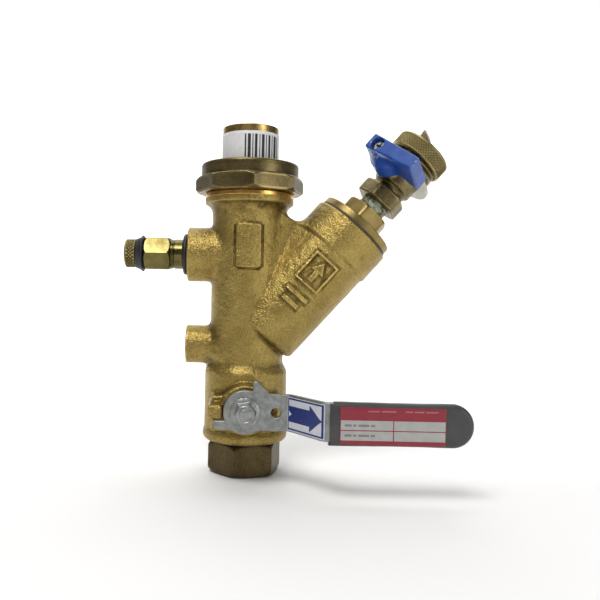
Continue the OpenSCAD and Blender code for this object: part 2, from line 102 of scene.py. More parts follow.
PIPE = Place((0, 0, 0), (1, 0, 0), (0, 1, 0), (0, 0, 1))
LEVER = Place((0, 0, BALL_Z), (1, 0, 0), (0, 0, 1), (0, -1, 0))
BRANCH = Place((0, 0, BRANCH_Z), ACROSS, (0, 1, 0), AXIS)
TEST = Place((0, 0, TEST_Z), (0, 0, 1), (0, 1, 0), (-1, 0, 0))
HANDLE = Place(DRAIN, np.cross(AXIS, STEM), AXIS, STEM)


# ---------------------------------------------------------------- distance fields
DIAGONAL = 0.7071


def join(a, b, k):
    """Two solids made one, with the valley between them rounded by about k."""
    h = np.clip(0.5 + 0.5 * (b - a) / k, 0, 1)
    return b * (1 - h) + a * h - k * h * (1 - h)


def meet(a, b, k):
    """What two solids share, with its edges rounded by about k."""
    return -join(-a, -b, k)


def from_axis(p):
    return np.hypot(p[:, 0], p[:, 1])


def slab(p, low, high):
    """Distance past the two ends of a stretch of the frame's Z axis."""
    return np.abs(p[:, 2] - (low + high) / 2) - (high - low) / 2


def carve(d, tool, k):
    """Takes the tool's solid out of d and rounds the new edge by about k."""
    return meet(d, -tool, k)


def rounded(side, end, edge):
    """Joins a sideways and an endways distance into a solid with a rounded edge."""
    side = side + edge
    end = end + edge
    outside = np.hypot(np.maximum(side, 0), np.maximum(end, 0))
    return np.minimum(np.maximum(side, end), 0) + outside - edge


def rod(p, r, low, high, edge=0.0):
    return rounded(from_axis(p) - r, slab(p, low, high), edge)


def block(p, low, high, edge=0.0):
    low = np.array(low, float)
    high = np.array(high, float)
    q = np.abs(p - (low + high) / 2) - (high - low) / 2 + edge
    outside = np.sqrt((np.maximum(q, 0) ** 2).sum(1))
    return np.minimum(q.max(1), 0) + outside - edge


def flats(p, sides, across, turn):
    """Distance to a regular prism's sides; turn is a corner's angle in degrees."""
    angles = radians(turn) + (np.arange(sides) + 0.5) * 2 * pi / sides
    x, y, _ = p.T
    reach = [x * cos(a) + y * sin(a) for a in angles]
    return np.max(reach, axis=0) - across / 2


def nut(p, sides, across, turn, low, high, chamfer, edge):
    """A prism whose corners are turned down by a cone at both ends."""
    ends = slab(p, low, high)
    body = rounded(flats(p, sides, across, turn), ends, edge)
    corner = across / 2 / cos(pi / sides)
    cone = (from_axis(p) - corner + chamfer + ends) * DIAGONAL + 0.2
    return meet(body, cone, edge)


def ripple(p, size, seed):
    """Gentle unevenness, from -1 to 1, whose bumps are about size across."""
    x, y, z = p.T * (2 * pi / size)
    a = np.sin(x + 1.3 * seed) * np.cos(y * 0.83 + 2.1 * seed)
    b = np.sin(y * 1.27 + 0.7 * seed) * np.cos(z * 1.11 + seed)
    c = np.sin(z * 0.71 + 2.9 * seed + x * 0.37)
    return (a + b + c) / 3


# ---------------------------------------------------------------- mesh making
def gradient(field, points, h=0.03):
    steps = np.eye(3) * h
    g = np.stack([field(points + s) - field(points - s) for s in steps], axis=1)
    return g / np.maximum(np.linalg.norm(g, axis=1, keepdims=True), 1e-9)


def sample(field, low, step, shape, block_n=4):
    """Field values on a grid, worked out finely only near the surface."""
    blocks = [ceil(n / block_n) for n in shape]
    index = np.indices(blocks).reshape(3, -1).T
    centres = low + (index * block_n + block_n / 2) * step
    rough = field(centres)
    reach = block_n * step * 0.87 + step
    values = rough.reshape(blocks)
    for axis in range(3):
        values = np.repeat(values, block_n, axis=axis)
    near = index[np.abs(rough) < reach * 1.35]
    local = np.indices((block_n,) * 3).reshape(3, -1).T
    cells = (near[:, None, :] * block_n + local[None, :, :]).reshape(-1, 3)
    fine = field(low + cells * step)
    values[cells[:, 0], cells[:, 1], cells[:, 2]] = fine
    return values


def surface_net(field, low, high, step):
    """Quads on the field's zero surface, pulled onto it exactly, with true normals."""
    step = step * COARSE
    low = np.array(low, float) - 1.5 * step
    shape = [int(ceil((h + 1.5 * step - l) / step)) + 1 for l, h in zip(low, high)]
    values = sample(field, low, step, shape)
    solid = values < 0
    corners = np.indices((2, 2, 2)).reshape(3, -1).T
    cell_shape = [n - 1 for n in values.shape]
    count = np.zeros(cell_shape, np.int8)
    for c in corners:
        count += solid[c[0]:c[0] + cell_shape[0], c[1]:c[1] + cell_shape[1], c[2]:c[2] + cell_shape[2]]
    cells = np.argwhere((count > 0) & (count < 8))
    total = np.zeros((len(cells), 3))
    hits = np.zeros(len(cells))
    for a in corners:
        for axis in range(3):
            if a[axis]:
                continue
            b = a.copy()
            b[axis] = 1
            va = values[tuple((cells + a).T)]
            vb = values[tuple((cells + b).T)]
            cross = (va < 0) != (vb < 0)
            t = np.where(cross, va / np.where(cross, va - vb, 1), 0)
            point = a + (b - a) * t[:, None]
            total += np.where(cross[:, None], point, 0)
            hits += cross
    points = low + (cells + total / hits[:, None]) * step
    number = np.full(cell_shape, -1, np.int64)
    number[tuple(cells.T)] = np.arange(len(cells))
    faces = []
    for axis in range(3):
        u, v = (axis + 1) % 3, (axis + 2) % 3
        a = np.moveaxis(solid, (axis, u, v), (0, 1, 2))
        n = np.moveaxis(number, (axis, u, v), (0, 1, 2))
        change = a[:-1, 1:-1, 1:-1] != a[1:, 1:-1, 1:-1]
        i, j, k = np.nonzero(change)
        first = a[i, j + 1, k + 1]
        quad = np.stack([n[i, j, k], n[i, j + 1, k], n[i, j + 1, k + 1], n[i, j, k + 1]], axis=1)
        quad[~first] = quad[~first][:, ::-1]
        faces.append(quad)
    faces = np.concatenate(faces)
    faces = faces[(faces >= 0).all(axis=1)]
    for _ in range(2):
        normal = gradient(field, points)
        move = np.clip(field(points), -0.6 * step, 0.6 * step)
        points = points - normal * move[:, None]
    return points, faces, gradient(field, points)


def make_object(name, points, faces, place, normals=None):
    mesh = bpy.data.meshes.new(name)
    world = place.outward(points) * MM
    mesh.vertices.add(len(world))
    mesh.vertices.foreach_set("co", world.astype(np.float32).ravel())
    sizes = np.array([len(face) for face in faces])
    flat = np.concatenate(faces)
    mesh.loops.add(len(flat))
    mesh.loops.foreach_set("vertex_index", flat.astype(np.int32))
    mesh.polygons.add(len(sizes))
    starts = np.concatenate([[0], np.cumsum(sizes)[:-1]])
    mesh.polygons.foreach_set("loop_start", starts.astype(np.int32))
    mesh.update(calc_edges=True)
    mesh.validate()
    mesh.polygons.foreach_set("use_smooth", np.ones(len(mesh.polygons), bool))
    if normals is not None and len(normals) == len(mesh.vertices):
        turned = normals @ place.axes
        mesh.normals_split_custom_set_from_vertices(turned.tolist())
    obj = bpy.data.objects.new(name, mesh)
    bpy.context.scene.collection.objects.link(obj)
    return obj


def finish_piece(obj, body, material, replaces=()):
    if not obj.data.materials:
        obj.data.materials.append(material)
    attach(obj, body)
    if replaces:
        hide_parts(*replaces)
    return obj


def store(obj, label, values):
    layer = obj.data.attributes.new(label, "FLOAT", "POINT")
    layer.data.foreach_set("value", values.astype(np.float32))


def shade_and_wear_layer(obj, field, points, normals):
    """Stores how sheltered (1) or exposed (0) each point is, for painted shade in sheltered places and for
    rubbed edges.
    """
    reach = 1.6
    shelter = np.clip(0.5 - (field(points + normals * reach) - reach) / reach * 1.4, 0, 1)
    inner = field(points - normals * reach) + reach
    edge = np.clip(inner / reach * 1.6, 0, 1)
    store(obj, "shelter", shelter)
    store(obj, "edge", edge)


def sculpt(name, field, low, high, step, place, body, material, replaces=(), near=None):
    """A solid from its distance field, in the given frame."""
    points, faces, normals = surface_net(field, low, high, step)
    obj = make_object(name, points, faces, place, normals)
    shade_and_wear_layer(obj, near or field, points, normals)
    return finish_piece(obj, body, material, replaces)


def soften(outline, radius, closed=True, steps=3):
    """Replaces each corner of an (r, z) outline by a short curve of about that radius."""
    outline = [np.array(q, float) for q in outline]
    n = len(outline)
    out = []
    for i, q in enumerate(outline):
        if not closed and i in (0, n - 1):
            out.append(q)
            continue
        before, after = outline[i - 1], outline[(i + 1) % n]
        la, lb = np.linalg.norm(before - q), np.linalg.norm(after - q)
        cut = min(radius, 0.45 * la, 0.45 * lb)
        a = q + (before - q) / la * cut
        b = q + (after - q) / lb * cut
        for t in np.linspace(0, 1, steps + 1):
            out.append((1 - t) ** 2 * a + 2 * t * (1 - t) * q + t * t * b)
    return out


def lathe(name, stations, place, body, material, replaces=(), around=96):
    """A turned solid. Each station is (radius, height); a radius may be a function of the angle."""
    angle = np.arange(around) * 2 * pi / around
    here = np.arange(around)
    there = (here + 1) % around
    rings, depths, faces = [], [], []
    for i, (radius, height) in enumerate(stations):
        r = radius(angle) if callable(radius) else np.full(around, float(radius))
        rings.append(np.stack([r * np.cos(angle), r * np.sin(angle), np.full(around, float(height))], axis=1))
        # Groove depth below the ring's crest, stored as shelter for painted shade in threads and knurls.
        depths.append(np.clip((r.max() - r) / 0.4, 0, 1))
        a, b = i * around, (i + 1) % len(stations) * around
        faces.append(np.stack([a + here, a + there, b + there, b + here], axis=1))
    points = np.concatenate(rings)
    obj = make_object(name, points, np.concatenate(faces), place)
    if len(obj.data.vertices) == len(points):
        store(obj, "shelter", np.concatenate(depths))
    weighted = obj.modifiers.new("shading", "WEIGHTED_NORMAL")
    weighted.keep_sharp = True
    return finish_piece(obj, body, material, replaces)


def above(base, *stations):
    """Stations whose heights are counted from a base."""
    return [(radius, base + height) for radius, height in stations]


def threaded(r, depth, pitch, low, high, step=0.2):
    """Stations of a helical thread whose crest is at radius r, cut inwards by depth."""
    def station(z):
        fade = min(1.0, (z - low) / pitch, (high - z) / pitch)

        def radius(angle):
            phase = (z / pitch - angle / (2 * pi)) % 1.0
            groove = np.clip(np.abs(phase * 2 - 1) * 1.5 - 0.25, 0, 1)
            return r - depth * (1 - groove) * max(fade, 0.0)
        return radius
    count = max(2, int(round((high - low) / step)))
    return [(station(z), z) for z in np.linspace(low, high, count + 1)]


def knurled(r, depth, pitch, low, high, around):
    """Stations of a diamond knurl: two crossing sets of ridges."""
    ridges = min(round(2 * pi * r / pitch), around // 4)

    def station(z):
        fade = min(1.0, (z - low) / 0.5, (high - z) / 0.5)

        def radius(angle):
            lead = z / pitch
            turns = angle * ridges / (2 * pi)
            one = np.abs(((turns + lead) % 1.0) * 2 - 1)
            two = np.abs(((turns - lead) % 1.0) * 2 - 1)
            groove = np.clip((np.maximum(one, two) - 0.45) / 0.5, 0, 1)
            return r - depth * groove * max(fade, 0.0)
        return radius
    rows = max(2, int(round((high - low) / (pitch / 4))))
    return [(station(z), z) for z in np.linspace(low, high, rows + 1)]


# ---------------------------------------------------------------- materials
class Shader:
    """A small helper round one principled material."""

    def __init__(self, name, **sockets):
        self.material = bpy.data.materials.new(name)
        self.material.use_nodes = True
        self.tree = self.material.node_tree
        self.shader = self.tree.nodes["Principled BSDF"]
        for key, value in sockets.items():
            self.set(key.replace("_", " "), value)

    def set(self, socket, value):
        target = self.shader.inputs[socket]
        if isinstance(value, tuple) and len(value) == 3:
            value = (*value, 1.0)
        target.default_value = value

    def node(self, kind, inputs=None, **settings):
        node = self.tree.nodes.new(kind)
        for key, value in settings.items():
            setattr(node, key, value)
        for key, value in (inputs or {}).items():
            if isinstance(value, bpy.types.NodeSocket):
                self.tree.links.new(value, node.inputs[key])
            else:
                node.inputs[key].default_value = value
        return node

    def noise(self, size_mm, detail=3.0, rough=0.55, stretch=None):
        where = self.node("ShaderNodeTexCoord").outputs["Object"]
        if stretch:
            where = self.node("ShaderNodeMapping", {"Vector": where, "Scale": stretch}).outputs[0]
        sockets = {"Vector": where, "Scale": 1000.0 / size_mm, "Detail": detail, "Roughness": rough}
        return self.node("ShaderNodeTexNoise", sockets).outputs["Fac"]

    def span(self, factor, low, high, from_low=0.0, from_high=1.0):
        sockets = {0: factor, 1: from_low, 2: from_high, 3: low, 4: high}
        return self.node("ShaderNodeMapRange", sockets).outputs[0]

    def patches(self, size_mm, detail, start, stop, high=1.0, rough=0.55):
        """Noise sorted into patches: 0 where it is below start, and high above stop."""
        return self.span(self.noise(size_mm, detail, rough), 0, high, start, stop)

    def mix(self, factor, a, b):
        a, b = ((*colour, 1.0) if isinstance(colour, tuple) else colour for colour in (a, b))
        return self.node("ShaderNodeMix", {0: factor, 6: a, 7: b}, data_type="RGBA").outputs[2]

    def math(self, operation, a, b=0.0):
        return self.node("ShaderNodeMath", {0: a, 1: b}, operation=operation).outputs[0]

    def layer(self, name):
        return self.node("ShaderNodeAttribute", attribute_name=name).outputs["Fac"]

    def link(self, output, socket):
        self.tree.links.new(output, self.shader.inputs[socket])

    def roughness(self, size_mm, detail, low, high, start=0.0, stop=1.0):
        self.link(self.span(self.noise(size_mm, detail), low, high, start, stop), "Roughness")

    def bump(self, height, depth_mm):
        sockets = {"Height": height, "Distance": depth_mm * MM, "Strength": 1.0}
        self.link(self.node("ShaderNodeBump", sockets).outputs[0], "Normal")


def times(colour, factor):
    return tuple(min(1, factor * c) for c in colour)


def cast_brass(name, light, dark, pit_and_shade_colour, grain_mm=0.6, depth=0.30, wear=0.25):
    """Sand-cast metal: blotches and pits, painted shade in sheltered corners and creases, rubbed edges and a
    grainy skin.
    """
    s = Shader(name, Metallic=0.9)
    colour = s.mix(s.patches(14, 4, 0.35, 0.68), dark, light)
    pits = s.noise(0.62, 1.5, 0.6)
    colour = s.mix(s.span(pits, 0, 0.6, 0.52, 0.72), colour, pit_and_shade_colour)
    colour = s.mix(s.span(pits, 0.35, 0, 0.28, 0.42), colour, times(light, 1.5))
    # Painted shade: corners, creases and recesses are darkened where the shelter layer is high.
    sheltered = s.span(s.math("MULTIPLY", s.layer("shelter"), s.noise(5, 3)), 0, 0.8, 0.29, 0.6)
    colour = s.mix(sheltered, colour, pit_and_shade_colour)
    rubbed = s.span(s.math("MULTIPLY", s.layer("edge"), s.noise(3, 2)), 0, 0.6, wear, wear + 0.3)
    colour = s.mix(rubbed, colour, times(light, 1.7))
    s.link(colour, "Base Color")
    smoother = s.math("MULTIPLY", rubbed, 0.16)
    s.link(s.math("SUBTRACT", s.span(s.noise(6, 3), 0.32, 0.46), smoother), "Roughness")
    lumps = s.math("MULTIPLY", s.noise(2.6, 1.0), 1.3)
    s.bump(s.math("ADD", s.noise(grain_mm, 1.0, 0.5), lumps), depth)
    return s.material


def turned_brass(name, light, dark, rough):
    """Machined metal with stains, painted shade in grooves and sheltered hollows, and fine turning lines."""
    s = Shader(name, Metallic=1.0)
    colour = s.mix(s.patches(9, 4, 0.35, 0.65), dark, light)
    colour = s.mix(s.patches(2.2, 5, 0.58, 0.78, 0.5, 0.7), colour, times(dark, 0.45))
    # Painted shade: grooves and sheltered hollows are darkened where the shelter layer is high.
    colour = s.mix(s.span(s.layer("shelter"), 0, 0.85, 0.1, 0.8), colour, times(dark, 0.22))
    s.link(colour, "Base Color")
    s.roughness(3.5, 4, rough - 0.06, rough + 0.12, 0.3, 0.7)
    s.bump(s.noise(0.12, 2, 0.5, (0.15, 0.15, 1.0)), 0.01)
    return s.material


def rubber_like(name, colour, rough):
    s = Shader(name)
    lighter = tuple(min(1, c * 1.8 + 0.01) for c in colour)
    s.link(s.mix(s.patches(4, 4, 0.45, 0.75, 0.6), colour, lighter), "Base Color")
    s.roughness(2, 3, rough - 0.08, rough + 0.1)
    s.bump(s.noise(0.4, 3), 0.02)
    return s.material


def plated_steel(name, light, dark, rough, metallic=0.92):
    s = Shader(name, Metallic=metallic)
    colour = s.mix(s.patches(2.6, 5, 0.36, 0.64, rough=0.65), dark, light)
    spots = s.patches(1.1, 3, 0.66, 0.8, 0.65)
    s.link(s.mix(spots, colour, times(dark, 0.4)), "Base Color")
    s.roughness(1.7, 4, rough - 0.08, rough + 0.14, 0.3, 0.7)
    s.bump(s.math("ADD", s.noise(0.35, 3), s.noise(3.0, 2)), 0.03)
    return s.material


def printed_film(name, colour, rough=0.42):
    s = Shader(name)
    s.link(s.mix(s.patches(3, 5, 0.3, 0.7), times(colour, 0.86), colour), "Base Color")
    s.roughness(1.5, 3, rough - 0.06, rough + 0.12)
    s.bump(s.noise(2.2, 2), 0.03)
    return s.material


def vinyl(name):
    s = Shader(name)
    colour = s.mix(s.patches(10, 4, 0.3, 0.7), (0.036, 0.036, 0.038), (0.055, 0.055, 0.057))
    scuff = s.patches(1.6, 5, 0.6, 0.8, 0.5, 0.7)
    s.link(s.mix(scuff, colour, (0.10, 0.10, 0.10)), "Base Color")
    s.roughness(4, 3, 0.36, 0.5)
    s.bump(s.math("ADD", s.noise(0.5, 2), s.noise(7, 2)), 0.04)
    return s.material


def enamel(name):
    s = Shader(name, Coat_Weight=0.35, Coat_Roughness=0.12)
    colour = s.mix(s.patches(6, 3, 0.3, 0.7), (0.003, 0.045, 0.26), (0.006, 0.075, 0.39))
    chip = s.span(s.math("MULTIPLY", s.layer("edge"), s.noise(1.2, 4)), 0, 0.7, 0.56, 0.64)
    s.link(s.mix(chip, colour, (0.45, 0.53, 0.68)), "Base Color")
    s.roughness(2.5, 4, 0.26, 0.42)
    s.bump(s.noise(1.8, 3), 0.05)
    return s.material


def waxy(name, colour, see_through=0.0, rough=0.4):
    s = Shader(name, Subsurface_Weight=0.25, Subsurface_Scale=0.002, Transmission_Weight=see_through)
    s.link(s.mix(s.patches(3, 3, 0.3, 0.7), times(colour, 0.82), colour), "Base Color")
    s.roughness(2, 3, rough - 0.08, rough + 0.1)
    s.bump(s.noise(1.2, 3), 0.05)
    return s.material


def pasted_brass(name):
    s = Shader(name)
    paste = s.patches(2.6, 4, 0.44, 0.54, rough=0.6)
    crust = s.mix(s.noise(1.1, 3), (0.30, 0.36, 0.22), (0.62, 0.66, 0.52))
    s.link(s.mix(paste, (0.16, 0.15, 0.07), crust), "Base Color")
    s.link(s.span(paste, 0.85, 0.0), "Metallic")
    s.link(s.span(paste, 0.3, 0.6), "Roughness")
    s.bump(s.math("ADD", paste, s.noise(0.7, 3)), 0.25)
    return s.material


CAST = cast_brass("cast_brass", (0.44, 0.325, 0.10), (0.31, 0.22, 0.062), (0.07, 0.045, 0.014))
CONNECTOR = cast_brass("connector_brass", (0.12, 0.088, 0.038), (0.075, 0.055, 0.023),
                       (0.025, 0.018, 0.008), 0.9, 0.16)
NUT = cast_brass("nut_brass", (0.19, 0.145, 0.062), (0.11, 0.082, 0.034),
                 (0.035, 0.025, 0.011), 0.6, 0.05, 0.05)
TURNED = turned_brass("turned_brass", (0.66, 0.49, 0.19), (0.46, 0.32, 0.10), 0.26)
TAIL = turned_brass("tail_brass", (0.56, 0.38, 0.14), (0.25, 0.155, 0.05), 0.28)
TEST_BRASS = turned_brass("test_brass", (0.36, 0.31, 0.115), (0.17, 0.14, 0.048), 0.2)
DRAIN_BRASS = cast_brass("drain_brass", (0.24, 0.19, 0.085), (0.13, 0.10, 0.042),
                         (0.04, 0.028, 0.012), 0.8, 0.12, 0.15)
CAP_BRASS = turned_brass("hose_cap_brass", (0.38, 0.31, 0.13), (0.24, 0.185, 0.072), 0.3)
STRAINER_BRASS = turned_brass("strainer_cap_brass", (0.58, 0.44, 0.17), (0.40, 0.29, 0.10), 0.36)
COPPERY = turned_brass("coppery_ring", (0.80, 0.47, 0.13), (0.52, 0.28, 0.07), 0.22)
FIBRE = rubber_like("fibre_washer", (0.05, 0.036, 0.02), 0.6)
RUBBER = rubber_like("black_rubber", (0.012, 0.012, 0.014), 0.5)
PTFE = waxy("ptfe", (0.86, 0.86, 0.83))
CHROME = turned_brass("plated_ball", (0.75, 0.76, 0.77), (0.62, 0.63, 0.64), 0.12)
STEEL = plated_steel("lever_steel", (0.36, 0.37, 0.355), (0.24, 0.25, 0.24), 0.42)
SCREW = plated_steel("screw_steel", (0.38, 0.39, 0.38), (0.24, 0.25, 0.24), 0.36, 0.8)
SCREEN = plated_steel("screen_steel", (0.6, 0.61, 0.6), (0.5, 0.5, 0.5), 0.3)
GRIP = vinyl("grey_vinyl")
BLUE_INK = printed_film("blue_print", (0.006, 0.02, 0.16))
WHITE_INK = printed_film("white_print", (0.60, 0.62, 0.67))
RED_INK = printed_film("red_print", (0.26, 0.02, 0.035))
GREY_INK = printed_film("grey_print", (0.40, 0.40, 0.385))
PINK_INK = printed_film("pale_rules", (0.38, 0.14, 0.15))
DASH_INK = printed_film("faded_dashes", (0.20, 0.19, 0.19))
PAPER = printed_film("label_paper", (0.74, 0.74, 0.75), 0.5)
BLACK_INK = printed_film("black_print", (0.015, 0.015, 0.017), 0.5)
BLUE = enamel("blue_enamel")
NYLON = waxy("natural_nylon", (0.74, 0.73, 0.62), 0.25, 0.35)
SEALANT = pasted_brass("dried_sealant")

KEPT_NODES = [
    (RUBBER, "body_seal stem_seal union_seal drain_stem_seal hose_washer test_port_core test_cap_gasket"),
    (PTFE, "lower_seat upper_seat thrust_washer stem_packing drain_seats"),
    (TURNED, "gland_nut main_stem drain_gland drain_stem"),
    (CHROME, "main_ball drain_ball"),
    (TEST_BRASS, "core_retainer"),
    (SCREEN, "strainer_screen"),
    (FIBRE, "strainer_gasket"),
]
for look, kept_names in KEPT_NODES:
    for kept_name in kept_names.split():
        slots = frame["nodes"][kept_name].data.materials
        slots.clear()
        slots.append(look)

# ---------------------------------------------------------------- valve body
MAIN_BALL_R = float(high_mm("main_ball")[1])
DRAIN_BALL_R = float(high_mm("drain_ball")[1] - low_mm("drain_ball")[1]) / 2
CHAMBER_R = 20.75
TUBE_R = 18.6
BRANCH_R = 20.8
COLLAR_R = 21.6
SHOULDER_Z = 140.0
THREAD_R = 20.8
BODY_TOP = SHOULDER_Z + 7.5
BOSS_X = 30.7
LOW_BOSS_Z = 63.5
PLATE_Z = 113.4


def arrow(x, u, tail_u, neck_u, tip_u, shaft, head):
    """Flat distance to an arrow that points along +u."""
    bar = np.maximum(np.abs(x) - shaft, np.maximum(tail_u - u, u - neck_u))
    slope = head / (tip_u - neck_u)
    side = (np.abs(x) - (tip_u - u) * slope) / hypot(1, slope)
    return np.minimum(bar, np.maximum(side, neck_u - u))


def cast_marks(b):
    """A raised flow arrow in a raised frame, and two plain raised bars, on the branch's front."""
    x, y, u = b.T
    pointer = arrow(x, u, 44.6, 50.0, 55.6, 1.25, 3.7)
    box = np.maximum(np.abs(x) - 7, np.abs(u - 50) - 8.2)
    rim = np.abs(box + 0.55) - 0.55
    long_bar = np.maximum(np.abs(x) - 6.5, np.abs(u - 36) - 1.1)
    short_bar = np.maximum(np.abs(x) - 4.5, np.abs(u - 31) - 1.1)
    shape = np.min([pointer, rim, long_bar, short_bar], axis=0)
    reach = from_axis(b)
    d = meet(shape, reach - BRANCH_R - 0.85, 0.3) + 0.03 * ripple(b, 3.0, 11.0)
    return np.maximum(np.maximum(d, BRANCH_R - 2.2 - reach), y)


def casting(p):
    """The valve's body: chamber, tube, Y branch, web, bosses and raised plate, less its bores."""
    b = BRANCH.inward(p)
    lever = LEVER.inward(p)
    test = TEST.inward(p)
    d = join(rod(p, CHAMBER_R, 16.2, 53.4, 3.6), rod(p, 21.25, 16.3, 22.0, 2.4), 1.6)
    d = join(d, rod(p, TUBE_R, 40, 139.4, 0.3), 3.0)
    d = join(d, rod(p, 22.2, 135.2, 139.6, 0.4), 6.5)
    # The Y branch with its collar, and the web between it and the tube.
    foot_taper = np.clip((b[:, 2] - 10) / 55, 0, 1) * 0.5
    collar = rod(b, COLLAR_R, 63.6, COLLAR_U, 1.2)
    branch = join(rod(b, BRANCH_R - 0.5, 9.4, 70, 3.0) - foot_taper, collar, 0.9)
    web = WEB.inward(p)
    flank = np.abs(web[:, 0]) - 1.5 - web[:, 2] * 0.11
    rib = rounded(rounded(flank, np.abs(web[:, 1]) - 9.5, 1.2), slab(web, 0, WEB_L), 1.2)
    valley = 1.1 - 0.035 * np.clip(p[:, 1], 0, 20)
    d = join(d, branch, valley)
    d = join(d, rib, 5.5)
    d = join(d, rod(test, 13.8, 4, BOSS_X, 0.9), 2.6)
    low_boss = p - np.array([0, 0, LOW_BOSS_Z])
    low_boss = low_boss[:, [2, 1, 0]] * np.array([1, 1, -1])
    d = join(d, rod(low_boss, 9.6, 4, 32, 1.0), 3.0)
    # The lever's side: a pad, the stem's boss and the stop lug.
    pad = block(lever, (-16, -11, 10), (16, 6, 25), 1.2)
    d = join(d, pad, 1.6)
    d = join(d, rod(lever, 11.7, 10, 30.2, 0.9), 1.4)
    d = join(d, block(lever, (-17.5, -3.6, 10), (-10.6, 3.1, 34.3), 1.5), 0.8)
    # The raised plate on the tube's front, with a groove round it.
    plate = rounded(np.abs(p[:, 0]) - 6.25, np.abs(p[:, 2] - PLATE_Z) - 10.75, 1.5)
    proud = from_axis(p) - TUBE_R
    raised = meet(plate, proud - 0.9, 0.5)
    groove = np.hypot(np.maximum(np.abs(plate - 0.45) - 0.1, 0), proud) - 0.4
    front = p[:, 1]
    d = carve(d, np.maximum(groove, front + 8), 0.3)
    d = join(d, np.maximum(raised, front), 0.35)
    d = d + 0.07 * ripple(p, 9, 1.0) + 0.03 * ripple(p, 3.1, 2.0)
    d = np.maximum(d, p[:, 2] - 139.0)
    d = meet(d, b[:, 2] - COLLAR_U, 0.25)
    d = meet(d, test[:, 2] - BOSS_X, 0.3)
    for bore in (
        rod(p, 13.0, 92, 150),
        rod(p, 9.8, 46, 96),
        rod(p, 17.05, 10, 27),
        np.linalg.norm(lever, axis=1) - MAIN_BALL_R - 0.9,
        rod(b, 17.0, 23, 90),
        rod(b, 17.6, 63.5, 90),
        rod(test, 6.7, 16, 40),
        rod(lever, 8.05, 23, 40),
        rod(lever, 5.1, 15, 24),
    ):
        d = carve(d, bore, 0.3)
    return d


web_low = np.array([5.0, 0.0, 78.0])
web_high = np.array([24.2, 0.0, 126.5])
WEB_L = float(np.linalg.norm(web_high - web_low))
web_z = (web_high - web_low) / WEB_L
WEB = Place(web_low, (web_z[2], 0, -web_z[0]), (0, 1, 0), web_z)

# The cast marks count in the shelter layer, so painted shade darkens the casting round them.
sculpt("valve_body_casting", casting, low_mm("valve_body"), (80, 23, 140), 0.62, PIPE,
       "valve", CAST, ["valve_body"],
       near=lambda p: np.minimum(casting(p), cast_marks(BRANCH.inward(p)) - 0.3))

sculpt("valve_cast_marks", cast_marks, (-7.4, -BRANCH_R - 1, 29), (7.4, -BRANCH_R + 5, 59), 0.32, BRANCH,
       "valve", CAST)

lathe("valve_union_thread",
      [(13.0, 137.6)]
      + soften(above(SHOULDER_Z, (22.0, -2.4), (22.7, -2.1), (22.7, -0.2), (22.4, 0), (20.0, 0)), 0.2, False)
      + threaded(THREAD_R - 0.05, 0.75, 1.5, SHOULDER_Z + 0.4, BODY_TOP - 0.5)
      + [(20.0, BODY_TOP), (13.4, BODY_TOP), (13.0, BODY_TOP - 0.4)],
      PIPE, "valve", COPPERY, around=160)

# ---------------------------------------------------------------- end connector
PORT_R = 12.3


def connector_outside(p):
    d = nut(p, 6, 33.0, 15.0, 0.0, 15.6, 1.7, 0.8)
    d = join(d, rod(p, 16.2, 14, 17, 0.1), 0.3)
    d = np.minimum(d, rod(p, 16.95, 16.3, 26.2, 0.3))
    d = d + 0.06 * ripple(p, 7, 3.0)
    cone = (from_axis(p) - PORT_R - 1.3 + p[:, 2]) * DIAGONAL
    return carve(carve(d, cone, 0.3), rod(p, PORT_R + 0.7, -2, 30), 0.3)


sculpt("end_connector_shell", connector_outside, (-19.5, -19.5, 0), (19.5, 19.5, 26.2), 0.6, PIPE,
       "valve", CONNECTOR, ["end_connector"])
lathe("end_connector_thread",
      [(13.2, 26.0), (13.2, 0.7)] + threaded(PORT_R + 0.75, 0.75, 1.81, 1.3, 14.0)
      + [(9.6, 14.2), (9.6, 26.0)],
      PIPE, "valve", TURNED, around=120)

# ---------------------------------------------------------------- union tail, label and nut
TAIL_TOP = float(high_mm("union_tail")[2])
TAIL_LOW = float(low_mm("union_tail")[2])
TAIL_R = 14.3
NUT_TOP = float(high_mm("union_nut")[2])
NUT_SHOULDER = NUT_TOP - 3.0
NUT_TURN = 4.3

lathe("union_tail_tube",
      soften([
          (9.98, TAIL_LOW), (20.5, TAIL_LOW), (20.5, NUT_SHOULDER - 0.3), (TAIL_R, NUT_SHOULDER - 0.3),
          (TAIL_R, TAIL_TOP - 0.1), (TAIL_R - 0.5, TAIL_TOP), (11.7, TAIL_TOP), (11.18, TAIL_TOP - 0.6),
          (11.18, TAIL_TOP - 18), (9.98, TAIL_TOP - 18)], 0.3),
      PIPE, "tail", TAIL, ["union_tail"], around=128)


def nut_outside(p):
    octagon = nut(p, 8, 51.2, NUT_TURN, SHOULDER_Z + 0.3, SHOULDER_Z + 8.4, 1.3, 0.28)
    collar = rod(p, 24.8, SHOULDER_Z + 4, NUT_TOP, 1.1)
    d = join(octagon, collar, 0.35) + 0.03 * ripple(p, 11, 4.0)
    cone = (from_axis(p) - 15.7 - (p[:, 2] - NUT_TOP)) * DIAGONAL
    for tool in (rod(p, 21.9, 100, NUT_SHOULDER), cone, rod(p, TAIL_R + 0.6, 100, 200)):
        d = carve(d, tool, 0.3)
    return d


sculpt("union_nut_shell", nut_outside, (-28, -28, SHOULDER_Z), (28, 28, NUT_TOP), 0.55, PIPE,
       "nut", NUT, ["union_nut"])
lathe("union_nut_thread",
      [(22.4, NUT_SHOULDER - 0.2), (22.4, SHOULDER_Z + 0.5)]
      + threaded(21.7, 0.8, 1.5, SHOULDER_Z + 0.9, NUT_SHOULDER - 0.6) + [(21.7, NUT_SHOULDER - 0.2)],
      PIPE, "nut", TURNED, around=160)


